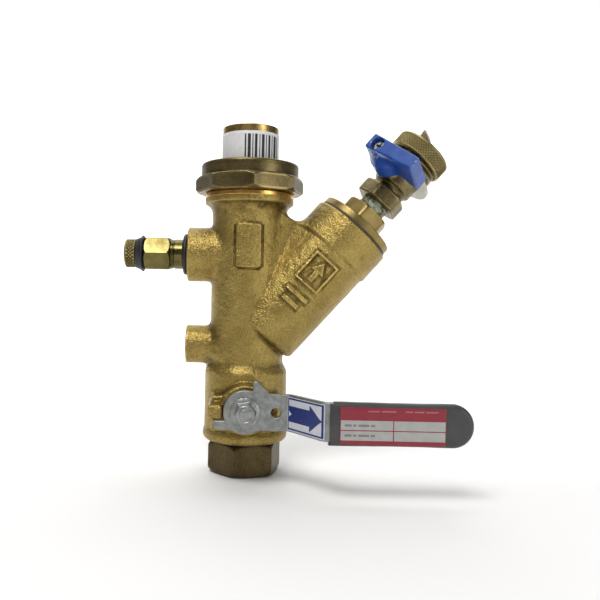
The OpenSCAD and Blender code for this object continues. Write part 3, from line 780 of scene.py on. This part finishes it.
def sheet_piece(name, xs, ys, paint, shape, thickness, looks, place, body, replaces):
    """A thin printed film: a grid of cells, each with its own ink, laid on a surface by shape."""
    xs = np.array(sorted(set(np.round(xs, 4))))
    ys = np.array(sorted(set(np.round(ys, 4))))
    gx, gy = np.meshgrid(xs, ys, indexing="ij")
    flat = np.stack([gx.ravel(), gy.ravel()], axis=1)
    top = shape(flat, thickness)
    under = shape(flat, 0.0)
    points = np.concatenate([top, under])
    nx, ny = len(xs), len(ys)
    number = np.arange(nx * ny).reshape(nx, ny)
    corners = [number[:-1, :-1], number[1:, :-1], number[1:, 1:], number[:-1, 1:]]
    upper = np.stack(corners, axis=-1).reshape(-1, 4)
    lower = upper[:, ::-1] + nx * ny
    rim = np.concatenate([number[:-1, 0], number[-1, :-1], number[:0:-1, -1], number[0, :0:-1]])
    ahead = np.roll(rim, -1)
    sides = np.stack([rim, rim + nx * ny, ahead + nx * ny, ahead], axis=1)
    faces = np.concatenate([upper, lower, sides])
    obj = make_object(name, points, faces, place)
    for look in looks:
        obj.data.materials.append(look)
    mid_x = (xs[:-1] + xs[1:]) / 2
    mid_y = (ys[:-1] + ys[1:]) / 2
    ink = np.array([[paint(x, y) for y in mid_y] for x in mid_x]).ravel()
    numbers = np.zeros(len(faces), np.int32)
    numbers[:len(ink)] = ink
    obj.data.polygons.foreach_set("material_index", numbers)
    return finish_piece(obj, body, looks[0], replaces)


LABEL_LOW = float(low_mm("tail_label")[2])
LABEL_HIGH = float(high_mm("tail_label")[2])
BARS_LOW = LABEL_LOW + 3.0
BARS_HIGH = LABEL_HIGH - 1.6
BARS = [(78, 81), (84, 90), (93, 95), (98, 103), (107, 109), (112, 118), (121, 123), (127, 132),
        (136, 138), (142, 149), (153, 156)]


def tail_wrap(flat, height):
    angle, z = flat[:, 0], flat[:, 1]
    lift = 0.12 * np.clip((z - LABEL_HIGH + 1.5) / 1.5, 0, 1) * (0.5 + 0.5 * np.sin(angle * 5))
    r = TAIL_R + 0.02 + height + lift * (height > 0)
    return np.stack([r * np.cos(angle), r * np.sin(angle), z], axis=1)


def tail_ink(angle, z):
    turned = degrees(angle) % 360 - 180
    inside = any(low < turned < high for low, high in BARS)
    return int(inside and BARS_LOW < z < BARS_HIGH)


bar_edges = [radians(180 + edge) for bar in BARS for edge in bar]
wrap_angles = np.concatenate([np.linspace(radians(110), radians(430), 110), bar_edges])
sheet_piece("tail_label_wrap", wrap_angles,
            np.concatenate([np.linspace(LABEL_LOW, LABEL_HIGH, 14), [BARS_LOW, BARS_HIGH]]),
            tail_ink, tail_wrap, 0.13, [PAPER, BLACK_INK], PIPE, "tail", ["tail_label"])

# ---------------------------------------------------------------- main lever
LEVER_Y = 31.5
LEVER_T = 2.8
LEVER_RISE = 19.0
BEND_X = 21.3
BEND_RUN = 14.0
BEND_R = 3.6
SLANT = atan2(LEVER_RISE, BEND_RUN)


def lever_path():
    """Middle line of the bent strip: arc length, distance along +X, distance outwards."""
    arc = BEND_R * SLANT
    straight = hypot(BEND_RUN, LEVER_RISE) - 2 * BEND_R * tan(SLANT / 2)
    first = BEND_X - 0.7 - BEND_R * tan(SLANT / 2)
    second = first + arc + straight
    step = 0.05
    s = np.arange(-20, 130, step)
    heading = np.interp(s, [first, first + arc, second, second + arc], [0, SLANT, SLANT, 0])
    x = -20 + np.concatenate([[0], np.cumsum(np.cos(heading[:-1]) * step)])
    out = LEVER_Y + LEVER_T / 2 + np.concatenate([[0], np.cumsum(np.sin(heading[:-1]) * step)])
    return s, x, out, heading, first + arc, second


PATH_S, PATH_X, PATH_OUT, PATH_TURN, SLANT_START, SLANT_END = lever_path()


def bend(points):
    """Carries flat strip coordinates (length, height, thickness) onto the bent strip."""
    s, y, t = points.T
    x = np.interp(s, PATH_S, PATH_X)
    out = np.interp(s, PATH_S, PATH_OUT)
    turn = np.interp(s, PATH_S, PATH_TURN)
    return np.stack([x - np.sin(turn) * t, y, out + np.cos(turn) * t], axis=1)


def bend_normals(points, normals):
    turn = np.interp(points[:, 0], PATH_S, PATH_TURN)
    c, s = np.cos(turn), np.sin(turn)
    x, y, z = normals.T
    return np.stack([x * c - z * s, y, x * s + z * c], axis=1)


def length_at(x):
    return float(np.interp(x, PATH_X, PATH_S))


def polygon_distance(x, y, corners):
    """Signed distance to a polygon, negative inside."""
    corners = np.array(corners, float)
    best = np.full(len(x), 1e9)
    inside = np.zeros(len(x), bool)
    for (ax, ay), (bx, by) in zip(corners, np.roll(corners, -1, axis=0)):
        ex, ey = bx - ax, by - ay
        px, py = x - ax, y - ay
        t = np.clip((px * ex + py * ey) / (ex * ex + ey * ey), 0, 1)
        best = np.minimum(best, (px - ex * t) ** 2 + (py - ey * t) ** 2)
        straddle = (ay > y) != (by > y)
        where = straddle & (x < ex * (y - ay) / (ey if ey else 1e-9) + ax)
        inside ^= where
    return np.where(inside, -np.sqrt(best), np.sqrt(best))


ARM_LOW = -8.4
ARM_HIGH = 8.7
GRIP_START = 36.0
GRIP_TIP = 98.6
LOCK_X = 14.1
UPPER_TAB = [(3.5, 2), (3.5, 13.6), (4.2, 14.5), (5.4, 14.5), (11.6, 8.0), (11.6, 2)]
LOWER_TAB = [(2, ARM_LOW), (-12.2, ARM_LOW), (-13.9, -7.5), (-15.1, -5.3), (-15.1, -4.4), (-13.8, -3.95),
             (-8, -3.95), (0, -1)]


def lever_flat(q):
    """The lever before it is bent: round end, arm, two tabs and two holes."""
    s, y, t = q.T
    end = length_at(90)
    d = np.hypot(s, y) - 10.2
    across = np.abs(y - (ARM_LOW + ARM_HIGH) / 2) - (ARM_HIGH - ARM_LOW) / 2
    neck = np.maximum(across, np.abs(s - end / 2) - end / 2)
    d = join(d, neck, 1.2)
    d = join(d, polygon_distance(s, y, UPPER_TAB), 0.8)
    d = join(d, polygon_distance(s, y, LOWER_TAB), 0.5)
    d = meet(d, 2.25 - np.hypot(s - LOCK_X, y), 0.2)
    d = meet(d, 4.2 - np.hypot(s, y), 0.2)
    return rounded(d, np.abs(t) - LEVER_T / 2 + 0.02 * ripple(q, 6, 5.0), 0.55)


def bent_piece(name, field, low, high, step, material, replaces):
    points, faces, normals = surface_net(field, low, high, step)
    obj = make_object(name, bend(points), faces, LEVER, bend_normals(points, normals))
    shade_and_wear_layer(obj, field, points, normals)
    return finish_piece(obj, "main_lever", material, replaces)


bent_piece("lever_plate", lever_flat, (-15.5, -10.5, -1.5), (length_at(88), 15, 1.5), 0.45,
           STEEL, ["lever"])

GRIP_S0 = length_at(GRIP_START)
GRIP_S1 = length_at(GRIP_TIP)
GRIP_HALF_W = 9.5
GRIP_DROP = 0.4
GRIP_HALF_T = 3.1
GRIP_CORNER = 9.2
GRIP_EDGE = 2.1


def grip_crown(across):
    """Half the grip's thickness, which falls a little towards its long edges."""
    return GRIP_HALF_T - 0.0042 * across * across


def grip_flat(q):
    s, y, t = q[:, 0], q[:, 1] + GRIP_DROP, q[:, 2]
    along = np.clip((s - GRIP_S0) / (GRIP_S1 - GRIP_S0), 0, 1)
    half = GRIP_HALF_W - 0.25 * np.sin(along * pi) ** 2
    outline = np.maximum(rounded(np.abs(y) - half, s - GRIP_S1, GRIP_CORNER), GRIP_S0 - s)
    d = rounded(outline, np.abs(t) - grip_crown(y), GRIP_EDGE) + 0.05 * ripple(q, 13, 6.0)
    mouth = rounded(np.abs(y - GRIP_DROP) - 8.9, np.abs(t) - 1.75, 0.5)
    return carve(d, np.maximum(mouth, s - GRIP_S0 - 2.0), 0.5)


bent_piece("lever_grip_sleeve", grip_flat, (GRIP_S0, -10.2, -3.2), (GRIP_S1, 9.4, 3.2), 0.55,
           GRIP, ["lever_grip"])

SCREW_Z = LEVER_Y + LEVER_T


def screw_head(p):
    """A hexagon on a flange with a stamped ring and a toothed rim."""
    flange = rod(p, 7.1, SCREW_Z, SCREW_Z + 1.5, 0.45)
    reach = from_axis(p)
    slope = (reach - 7.2 + (p[:, 2] - SCREW_Z - 0.7) * 2.4) / 2.6
    flange = meet(flange, slope, 0.3)
    head = nut(p, 6, 9.0, 10.0, SCREW_Z - 1, SCREW_Z + 7.1, 1.0, 0.25)
    d = join(flange, head, 0.5)
    ring = np.hypot(reach - 2.9, p[:, 2] - SCREW_Z - 7.2) - 0.4
    teeth = np.abs(((np.arctan2(p[:, 1], p[:, 0]) / (2 * pi) * 24) % 1.0) - 0.5)
    notches = np.hypot(reach - 7.0, (p[:, 2] - SCREW_Z - 0.35)) - 0.5 + teeth
    return carve(carve(d, ring, 0.2), notches, 0.15)


sculpt("lever_screw_head", screw_head, (-7.4, -7.4, SCREW_Z), (7.4, 7.4, SCREW_Z + 7.2), 0.28, LEVER,
       "main_lever", SCREW, ["lever_screw"])


def flow_shape(flat, height):
    over = np.full(len(flat), LEVER_T / 2 + 0.02 + height)
    return bend(np.stack([flat[:, 0], flat[:, 1], over], axis=1))


FLOW_S0 = SLANT_START - 2.0
FLOW_S1 = SLANT_END + 2.0
FLOW_LOW = -7.6
FLOW_HIGH = 7.9
FLOW_MID = (FLOW_LOW + FLOW_HIGH) / 2
BORDER_W = 0.8
BORDER_IN = 0.4


def flow_ink(s, y):
    """Blue border on white, with a plain blue arrow that points to the grip."""
    edge = min(s - FLOW_S0, FLOW_S1 - s, y - FLOW_LOW, FLOW_HIGH - y)
    if BORDER_IN < edge < BORDER_IN + BORDER_W:
        return 1
    neck = FLOW_S0 + (FLOW_S1 - FLOW_S0) * 0.64
    blue = arrow(y - FLOW_MID, s, FLOW_S0 + 0.6, neck, FLOW_S1 - 0.9, 3.6, 6.0) < 0
    notch = arrow(y - FLOW_MID, s, FLOW_S0 - 9, FLOW_S0 - 2.0, FLOW_S0 + 3.4, 0.1, 3.4) < 0
    return int(blue and not notch)


flow_cell = 0.16 * COARSE
sheet_piece("flow_label_film", np.arange(FLOW_S0, FLOW_S1 + 0.01, flow_cell),
            np.arange(FLOW_LOW, FLOW_HIGH + 0.01, flow_cell),
            flow_ink, flow_shape, 0.12, [WHITE_INK, BLUE_INK], LEVER,
            "main_lever", ["flow_label"])

SPEC_S0 = length_at(40.7)
SPEC_S1 = length_at(86.1)
SPEC_LOW = -9.3
SPEC_HIGH = 7.3
TOP_BAND = 5.6
LOW_BAND = 2.4
RULE = 0.45
SPEC_MID_S = SPEC_S0 + (SPEC_S1 - SPEC_S0) * 0.505
CELL_LOW = SPEC_LOW + LOW_BAND
CELL_HIGH = SPEC_HIGH - TOP_BAND
CELL_MID = (CELL_LOW + CELL_HIGH) / 2
CELL_START = SPEC_S0 + 0.3
CELL_END = SPEC_S1 - 0.3
ROWS = [(CELL_MID + CELL_HIGH) / 2, (CELL_MID + CELL_LOW) / 2]
DARK_DASHES = [(SPEC_S0 + a, SPEC_S0 + b, row - 0.5, row + 0.5)
               for row in ROWS for a, b in ((2, 5), (5.6, 7), (7.8, 12.5), (13.2, 15))]
PALE_DASHES = [(SPEC_S0 + a, SPEC_S0 + b, SPEC_HIGH - 1.9, SPEC_HIGH - 1.3)
               for a, b in ((12, 17), (17.8, 24), (28, 31), (31.8, 36), (36.8, 42))]


def on_a_dash(s, y, dashes):
    return any(low < s < high and bottom < y < top for low, high, bottom, top in dashes)


def spec_ink(s, y):
    """The number of the ink in a cell: red band and rules, grey cells, pale and dark dashes."""
    rule = abs(s - SPEC_MID_S) < RULE / 2 or abs(y - CELL_MID) < RULE / 2
    if rule or not (CELL_LOW < y < CELL_HIGH and CELL_START < s < CELL_END):
        return 2 if on_a_dash(s, y, PALE_DASHES) else 0
    return 3 if on_a_dash(s, y, DARK_DASHES) else 1


def spec_shape(flat, height):
    s, y = flat[:, 0], flat[:, 1]
    across = y + GRIP_DROP
    edge = np.clip((np.abs(across) - (GRIP_HALF_W - 2.35)) / GRIP_EDGE, 0, 1)
    crown = grip_crown(across) - (1 - np.sqrt(np.maximum(1 - edge * edge, 0))) * GRIP_EDGE
    crease = np.exp(-((y - SPEC_HIGH + 1.2 + 0.06 * (s - SPEC_S0)) / 0.9) ** 2)
    fade = np.clip(1 - (s - SPEC_S0) / 22, 0, 1)
    wrinkle = 0.35 * crease * fade * (0.6 + 0.4 * np.sin(s * 1.3))
    t = crown + 0.06 + height + wrinkle
    return bend(np.stack([s, y, t], axis=1))


spec_x = np.concatenate([
    np.arange(SPEC_S0, SPEC_S1, 0.6),
    np.ravel([dash[:2] for dash in DARK_DASHES + PALE_DASHES]),
    [SPEC_S1, SPEC_MID_S - RULE / 2, SPEC_MID_S + RULE / 2, CELL_START, CELL_END],
])
spec_y = np.concatenate([
    np.arange(SPEC_LOW, SPEC_HIGH, 0.4),
    np.ravel([dash[2:] for dash in DARK_DASHES + PALE_DASHES]),
    [SPEC_HIGH, CELL_LOW, CELL_HIGH, CELL_MID - RULE / 2, CELL_MID + RULE / 2],
])
sheet_piece("spec_label_film", spec_x, spec_y, spec_ink, spec_shape, 0.1,
            [RED_INK, GREY_INK, PINK_INK, DASH_INK], LEVER, "main_lever", ["spec_label"])

# ---------------------------------------------------------------- test port
TEST_HEX = (39.5, 52.9)
TEST_HEX_AF = 15.9
TEST_END = float(-low_mm("test_cap")[0])


def test_plug(p):
    d = rod(p, 7.6, 33.2, 37.6, 0.35)
    d = join(d, rod(p, 7.25, 33.2, 40, 0.2), 0.2)
    d = join(d, rod(p, 7.5, 38.3, 39.8, 0.25), 0.15)
    d = join(d, nut(p, 6, TEST_HEX_AF, 30.0, *TEST_HEX, 0.9, 0.3), 0.2)
    return carve(d, rod(p, 3.0, 45, 60), 0.2)


sculpt("test_plug_body", test_plug, (-9.4, -9.4, 33.2), (9.4, 9.4, 53), 0.33, TEST,
       "valve", TEST_BRASS, ["test_port_body"])
lathe("test_plug_nose",
      [(1.8, 50.5), (4.5, 50.5), (4.5, 52.8)] + threaded(4.55, 0.4, 1.0, 53.0, 60.6, 0.15)
      + [(4.1, 60.9), (1.8, 60.9)],
      TEST, "valve", TEST_BRASS, around=72)
lathe("test_plug_shank",
      [(1.8, 14.0), (6.3, 14.0)] + threaded(6.55, 0.5, 1.4, 14.4, 30.5)
      + [(6.1, 31.0), (6.1, 34.0), (1.8, 34.0)],
      TEST, "valve", TEST_BRASS, around=72)
lathe("test_base_washer",
      soften(above(BOSS_X, (6.25, 0.02), (9.4, 0.02), (10.4, 0.5), (10.5, 1.3),
                   (9.9, 2.2), (8.6, 2.48), (6.25, 2.48)), 0.5),
      TEST, "valve", RUBBER, ["test_base_ring"])
RING_LOW = 53.2
RING_HIGH = 57.3
lathe("test_cap_collar",
      soften(above(RING_LOW, (6.06, 0), (8.6, 0), (9.2, 0.4), (9.25, 0.9), (8.6, 1.3), (8.0, 2.4))
             + [(7.4, RING_HIGH), (6.06, RING_HIGH)], 0.3),
      TEST, "cap_ring", RUBBER, ["test_cap_ring"])
CAP_START = 57.5
lathe("test_cap_knurled",
      [(4.65, 53.3), (5.9, 53.3), (5.95, CAP_START - 0.1), (6.6, CAP_START)]
      + knurled(7.25, 0.8, 1.8, CAP_START + 0.2, TEST_END - 0.8, 260)
      + above(TEST_END, (6.95, -0.6), (6.6, -0.25), (5.9, 0), (3.0, 0),
              (0.02, 0), (0.02, -1.6), (4.65, -1.6)),
      TEST, "test_cap", CAP_BRASS, ["test_cap"], around=260)


def ribbon(name, spine, half_w, thick, place, material):
    """A strap, as wide as the frame's X axis says, carried along a smooth spine."""
    spine = np.array(spine, float)
    chord = np.concatenate([[0], np.cumsum(np.linalg.norm(np.diff(spine, axis=0), axis=1))])
    fine = np.linspace(0, chord[-1], 48)
    line = np.stack([np.interp(fine, chord, spine[:, i]) for i in range(3)], axis=1)
    for _ in range(6):
        line[1:-1] = (line[:-2] + 2 * line[1:-1] + line[2:]) / 4
    tangent = np.gradient(line, axis=0)
    tangent /= np.linalg.norm(tangent, axis=1, keepdims=True)
    side = np.array([1.0, 0, 0])
    normal = np.cross(tangent, side)
    normal /= np.linalg.norm(normal, axis=1, keepdims=True)
    widths = half_w(fine / chord[-1])
    angle = np.linspace(0, 2 * pi, 20, endpoint=False)
    across = np.sign(np.cos(angle)) * np.abs(np.cos(angle)) ** 0.35
    through = np.sign(np.sin(angle)) * np.abs(np.sin(angle)) ** 0.55 * thick / 2
    points = (line[:, None, :] + side * across[None, :, None] * widths[:, None, None]
              + normal[:, None, :] * through[None, :, None])
    n = len(angle)
    here = np.arange(n)
    there = (here + 1) % n
    faces = []
    for a in range(0, (len(line) - 1) * n, n):
        faces.extend(np.stack([a + here, a + n + here, a + n + there, a + there], axis=1))
    faces.append(here)
    faces.append((here + (len(line) - 1) * n)[::-1])
    obj = make_object(name, points.reshape(-1, 3), faces, place)
    obj.data.materials.append(material)
    return obj


def tie(strap, place, start, end):
    """Bakes the strap's placement into its mesh; the two points of its spine are worked out but not used."""
    start, end = (tuple(place.outward(np.array(point, float)) * MM) for point in (start, end))
    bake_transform(strap)


test_strap = ribbon("test_strap_band",
                    [(0, 9.6, 31.9), (0, 10.3, 32.6), (0, 11.0, 36), (0, 11.2, 43), (0, 11.0, 49),
                     (0, 10.0, 53.2), (0, 8.8, 54.2)],
                    lambda along: np.full(len(along), 2.1), 1.3, TEST, RUBBER)
tie(test_strap, TEST, (0, 11, 36), (0, 11, 51))
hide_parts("test_strap")

# ---------------------------------------------------------------- strainer cap and drain valve
CAP_FLANGE_U = COLLAR_U + 0.3
CAP_HEX_U = 84.5
CAP_TOP_U = 93.0
DRAIN_HEX_U = 98.0
DRAIN_NECK_U = 106.0
OUTLET_U = 119.6
HOSE_THREAD_U = 122.0
DRAIN_BODY_R = 10.6
HEX_ROUND = 12.25


def strainer_plug(p):
    """The strainer cap's flange and its rounded hexagon."""
    d = rod(p, 20.2, CAP_FLANGE_U, CAP_HEX_U, 0.7)
    head = rounded(flats(p, 6, 21.8, 16.0), np.abs(p[:, 2] - 87) - 6, 0.5)
    reach = from_axis(p)
    head = meet(head, reach - HEX_ROUND, 0.5)
    head = meet(head, (reach - HEX_ROUND + 1.0 + p[:, 2] - CAP_TOP_U) * DIAGONAL, 0.4)
    return carve(join(d, head, 0.8), rod(p, 6.9, 91, 99), 0.3)


sculpt("strainer_cap_head", strainer_plug, (-21, -21, CAP_FLANGE_U), (21, 21, CAP_TOP_U), 0.5, BRANCH,
       "strainer_cap", STRAINER_BRASS, ["strainer_cap"])
lathe("strainer_cap_thread",
      [(13.6, 81.6), (13.6, 64.2), (17.0, 64.2)] + threaded(17.5, 0.7, 1.5, 64.6, 79.0)
      + [(16.9, 79.6), (16.9, 81.6)],
      BRANCH, "strainer_cap", TURNED, around=144)


def nipple_paste(p):
    thread = np.abs(((p[:, 2] / 1.41 - np.arctan2(p[:, 1], p[:, 0]) / (2 * pi)) % 1.0) - 0.5)
    lumps = 0.35 * ripple(p, 3.2, 7.0) + 0.2 * ripple(p, 1.4, 8.0)
    return rod(p, 7.15, CAP_TOP_U - 0.6, DRAIN_HEX_U + 0.6, 0.3) + 0.5 * thread - 0.15 - lumps


sculpt("nipple_sealant", nipple_paste, (-8.4, -8.4, CAP_TOP_U - 1), (8.4, 8.4, DRAIN_HEX_U + 1), 0.3, BRANCH,
       "strainer_cap", SEALANT, ["thread_sealant"])


def drain_casting(p):
    """The drain valve's hexagon, neck, ball housing and stem boss, less its bores."""
    reach = from_axis(p)
    head = rounded(flats(p, 6, 22.0, 5.0), slab(p, DRAIN_HEX_U, DRAIN_NECK_U), 0.8)
    head = meet(head, reach - HEX_ROUND, 0.8)
    head = meet(head, (reach - HEX_ROUND - 0.6 + slab(p, 99, 105)) * DIAGONAL, 0.6)
    d = join(head, rod(p, 8.9, 100, 114, 0.3), 1.8)
    d = join(d, rod(p, DRAIN_BODY_R, 109.6, OUTLET_U + 0.4, 1.2), 2.0)
    stem = HANDLE.inward(BRANCH.outward(p))
    d = join(d, rod(stem, 5.0, 2, 13.0, 0.4), 1.6)
    d = d + 0.05 * ripple(p, 5, 9.0)
    d = meet(d, p[:, 2] - OUTLET_U, 0.2)
    ball = np.linalg.norm(p - np.array([0, 0, DRAIN_U]), axis=1) - DRAIN_BALL_R - 0.5
    d = carve(d, ball, 0.2)
    d = carve(d, rod(stem, 3.0, 4, 20), 0.2)
    return carve(d, rod(p, 4.6, 80, 130), 0.3)


sculpt("drain_valve_casting", drain_casting, (-14, -14, DRAIN_HEX_U - 0.5), (14, 13, OUTLET_U), 0.36, BRANCH,
       "strainer_cap", DRAIN_BRASS, ["drain_body"])
lathe("drain_hose_outlet",
      [(8.5, OUTLET_U), (10.4, OUTLET_U), (10.5, HOSE_THREAD_U), (12.2, HOSE_THREAD_U + 0.1)]
      + threaded(13.38, 1.1, 2.2087, HOSE_THREAD_U + 0.5, 132.0, 0.22)
      + [(12.2, 132.5), (10.2, 132.5), (9.5, 131.8), (9.5, 125), (6.6, 124), (6.6, OUTLET_U)],
      BRANCH, "strainer_cap", CAP_BRASS, ["drain_outlet"], around=128)

HOSE_CAP_U = 127.0
HOSE_CAP_TOP = 135.5
lathe("hose_cap_knurled",
      above(HOSE_CAP_U, (13.6, 0), (14.2, 0), (14.5, 0.3))
      + knurled(14.8, 0.5, 1.16, HOSE_CAP_U + 0.7, HOSE_CAP_TOP - 1.1, 480)
      + above(HOSE_CAP_TOP, (14.6, -0.7), (14.1, -0.2), (13.4, 0), (6, 0),
              (1.86, 0), (1.86, -1.5), (13.45, -1.5)),
      BRANCH, "hose_cap", CAP_BRASS, ["hose_cap"], around=480)

# ---------------------------------------------------------------- hose cap strap
STRAP_SHIFT = 2.5
STRAP_TILT = radians(7)
away = BRANCH.inward(BRANCH.origin - STEM)
tilt_y = away * cos(STRAP_TILT) + np.array([0, 0, -1.0]) * sin(STRAP_TILT)
tilt_x = np.cross(away, (0, 0, 1.0))
ring_centre = away * STRAP_SHIFT + np.array([0, 0, OUTLET_U - 0.5])
RING = Place(BRANCH.outward(ring_centre), tilt_x @ BRANCH.axes, tilt_y @ BRANCH.axes,
             np.cross(tilt_x, tilt_y) @ BRANCH.axes)


def strap_ring(p):
    in_branch = BRANCH.inward(RING.outward(p))
    d = rod(p, 15.2, -0.8, 0.8, 0.4)
    return meet(d, 10.85 - from_axis(in_branch), 0.4)


sculpt("hose_strap_ring", strap_ring, (-15.3, -15.3, -0.9), (15.3, 15.3, 0.9), 0.33, RING,
       "strainer_cap", NYLON, ["hose_strap"])
BAND_Y = 15.9
TOP_U = HOSE_CAP_TOP + 0.85
hose_strap = ribbon("hose_strap_band",
                    [(0, 14.4, 117.9), (0, 15.6, 118.6), (0, BAND_Y, 121), (0, BAND_Y, 128), (0, BAND_Y, 134),
                     (0, 15.4, 136.0), (0, 14.2, TOP_U), (0, 8, TOP_U), (0, 0, TOP_U)],
                    lambda along: 3.4 - 0.8 * np.sin(along * pi) ** 2, 1.1, BRANCH, NYLON)
tie(hose_strap, BRANCH, (0, BAND_Y, 121), (0, BAND_Y, 134))


def strap_button(p):
    """The strap's button on the hose cap, with the pull tab that stands off it."""
    d = rod(p, 5.6, HOSE_CAP_TOP + 0.3, HOSE_CAP_TOP + 1.4, 0.4)
    d = join(d, rod(p, 1.75, HOSE_CAP_TOP - 1.4, HOSE_CAP_TOP + 1, 0.1), 0.2)
    turn = radians(146)
    along, across = p[:, 0], p[:, 1]
    x = along * cos(turn) + across * sin(turn)
    y = -along * sin(turn) + across * cos(turn)
    tail = polygon_distance(x, y, [(-3.4, -1), (3.4, -1), (3.2, 8), (0.5, 13.2), (-0.5, 13.2), (-3.2, 8)])
    rise = TOP_U + np.clip(y, 0, 20) * tan(radians(12))
    tail = rounded(tail, np.abs(p[:, 2] - rise) - 0.55, 0.35)
    return join(d, tail, 0.4)


sculpt("hose_strap_button", strap_button, (-14, -14, HOSE_CAP_TOP - 1.6), (7, 7, HOSE_CAP_TOP + 4.5),
       0.36, BRANCH, "strap_end", NYLON, ["hose_strap_end"])

# ---------------------------------------------------------------- drain handle
HANDLE_TOP = 32.0
HUB_LOW = 13.3
SCREW_SEAT = HANDLE_TOP - 5.6
WING = [(-5, HANDLE_TOP), (24.3, HANDLE_TOP), (22.0, 12.7), (15, 13.4), (8, HUB_LOW), (-5, HUB_LOW)]


def handle_shape(p):
    """The blue wing, its hub round the stem, and the recess for its screw."""
    x, y, z = p.T
    half = 4.1 - 0.8 * np.clip((x + 5) / 29.3, 0, 1)
    scoop = 1.3 * np.exp(-((x - 10) / 6.0) ** 2) * np.clip((HANDLE_TOP - 3.0 - z) / 6, 0, 1)
    wing = rounded(polygon_distance(x, z, WING), np.abs(y) - half + scoop, 0.9)
    taper = 7.15 - np.clip((z - HUB_LOW - 8) / 9, 0, 1) * 3.2
    hub = rounded(from_axis(p) - taper, slab(p, HUB_LOW, HANDLE_TOP - 2), 0.8)
    d = meet(join(wing, hub, 2.2), z - HANDLE_TOP, 0.5) + 0.03 * ripple(p, 8, 10.0)
    d = carve(d, rod(p, 3.3, SCREW_SEAT, 40), 0.3)
    return carve(d, rod(p, 2.7, 5, SCREW_SEAT + 1), 0.2)


sculpt("drain_handle_wing", handle_shape, (-8, -8, 12.5), (24.6, 8, 32.2), 0.36, HANDLE,
       "drain_handle", BLUE, ["drain_handle"])


def cross_head_screw(p):
    p = p - np.array([0, 0, SCREW_SEAT])
    x, y, z = np.abs(p).T
    cross = np.maximum(np.maximum(np.minimum(x, y) - 0.42, np.maximum(x, y) - 1.85), 1.3 - z)
    well = np.maximum(from_axis(p) - 0.85, 1.1 - z)
    return carve(rod(p, 3.1, 0.0, 2.9, 0.8), join(cross, well, 0.2), 0.12)


sculpt("drain_handle_pozi_screw", cross_head_screw, (-3.2, -3.2, SCREW_SEAT), (3.2, 3.2, SCREW_SEAT + 3),
       0.16, HANDLE, "drain_handle", SCREW, ["drain_handle_screw"])


# ---------------------------------------------------------------- floor, light, camera
def studio():
    s = Shader("studio_white", Roughness=0.85)
    s.set("Base Color", (0.90, 0.90, 0.90))
    width, depth_front, depth_back, height, bend_r = 4.0, 1.2, 1.6, 2.4, 0.6
    profile = [(-depth_front, 0.0), (depth_back - bend_r, 0.0)]
    for i in range(1, 17):
        a = i / 16 * pi / 2
        profile.append((depth_back - bend_r + bend_r * sin(a), bend_r - bend_r * cos(a)))
    profile.append((depth_back, height))
    points = [(x / MM, y / MM, z / MM - 0.5) for x in (-width / 2, width / 2) for y, z in profile]
    n = len(profile)
    faces = np.array([[i, i + n, i + n + 1, i + 1] for i in range(n - 1)])
    obj = make_object("studio_backdrop", np.array(points), faces, PIPE)
    obj.data.materials.append(s.material)


def area_light(name, at, toward, size, watts, colour=(1, 1, 1)):
    data = bpy.data.lights.new(name, "AREA")
    data.shape = "RECTANGLE"
    data.size, data.size_y = size
    data.energy = watts
    data.color = colour
    obj = bpy.data.objects.new(name, data)
    obj.location = at
    obj.rotation_euler = (Vector(toward) - Vector(at)).to_track_quat("-Z", "Y").to_euler()
    bpy.context.scene.collection.objects.link(obj)


studio()
MIDDLE = (0.02, 0.0, 0.09)
area_light("key", (-0.28, -0.66, 1.05), MIDDLE, (0.55, 0.40), 9.0, (1.0, 0.985, 0.96))
area_light("fill", (0.85, -0.75, 0.30), MIDDLE, (0.4, 0.5), 2.6)
area_light("top", (0.0, 0.45, 1.2), MIDDLE, (1.3, 0.9), 8)
area_light("back", (0.0, 0.45, 1.0), (0.0, 1.5, 0.5), (2.2, 0.6), 24)

world = bpy.data.worlds.new("studio_world")
world.use_nodes = True
background = world.node_tree.nodes["Background"]
background.inputs["Color"].default_value = (1, 1, 1, 1)
background.inputs["Strength"].default_value = 0.16
bpy.context.scene.world = world
bpy.context.scene.view_settings.view_transform = "Standard"

CAMERA_FROM = (-0.00042, -0.3303, 0.09343)
ROLL = radians(1.234)
lens = bpy.data.cameras.new("photo_camera")
lens.sensor_width = 36
lens.lens = 38.62
lens.clip_start = 0.01
lens.shift_x = 0.0885
lens.shift_y = -0.0226
camera = bpy.data.objects.new("photo_camera", lens)
upright = Matrix.Rotation(pi / 2, 4, "X")
camera.matrix_world = Matrix.Translation(CAMERA_FROM) @ upright @ Matrix.Rotation(ROLL, 4, "Z")
bpy.context.scene.collection.objects.link(camera)
bpy.context.scene.camera = camera
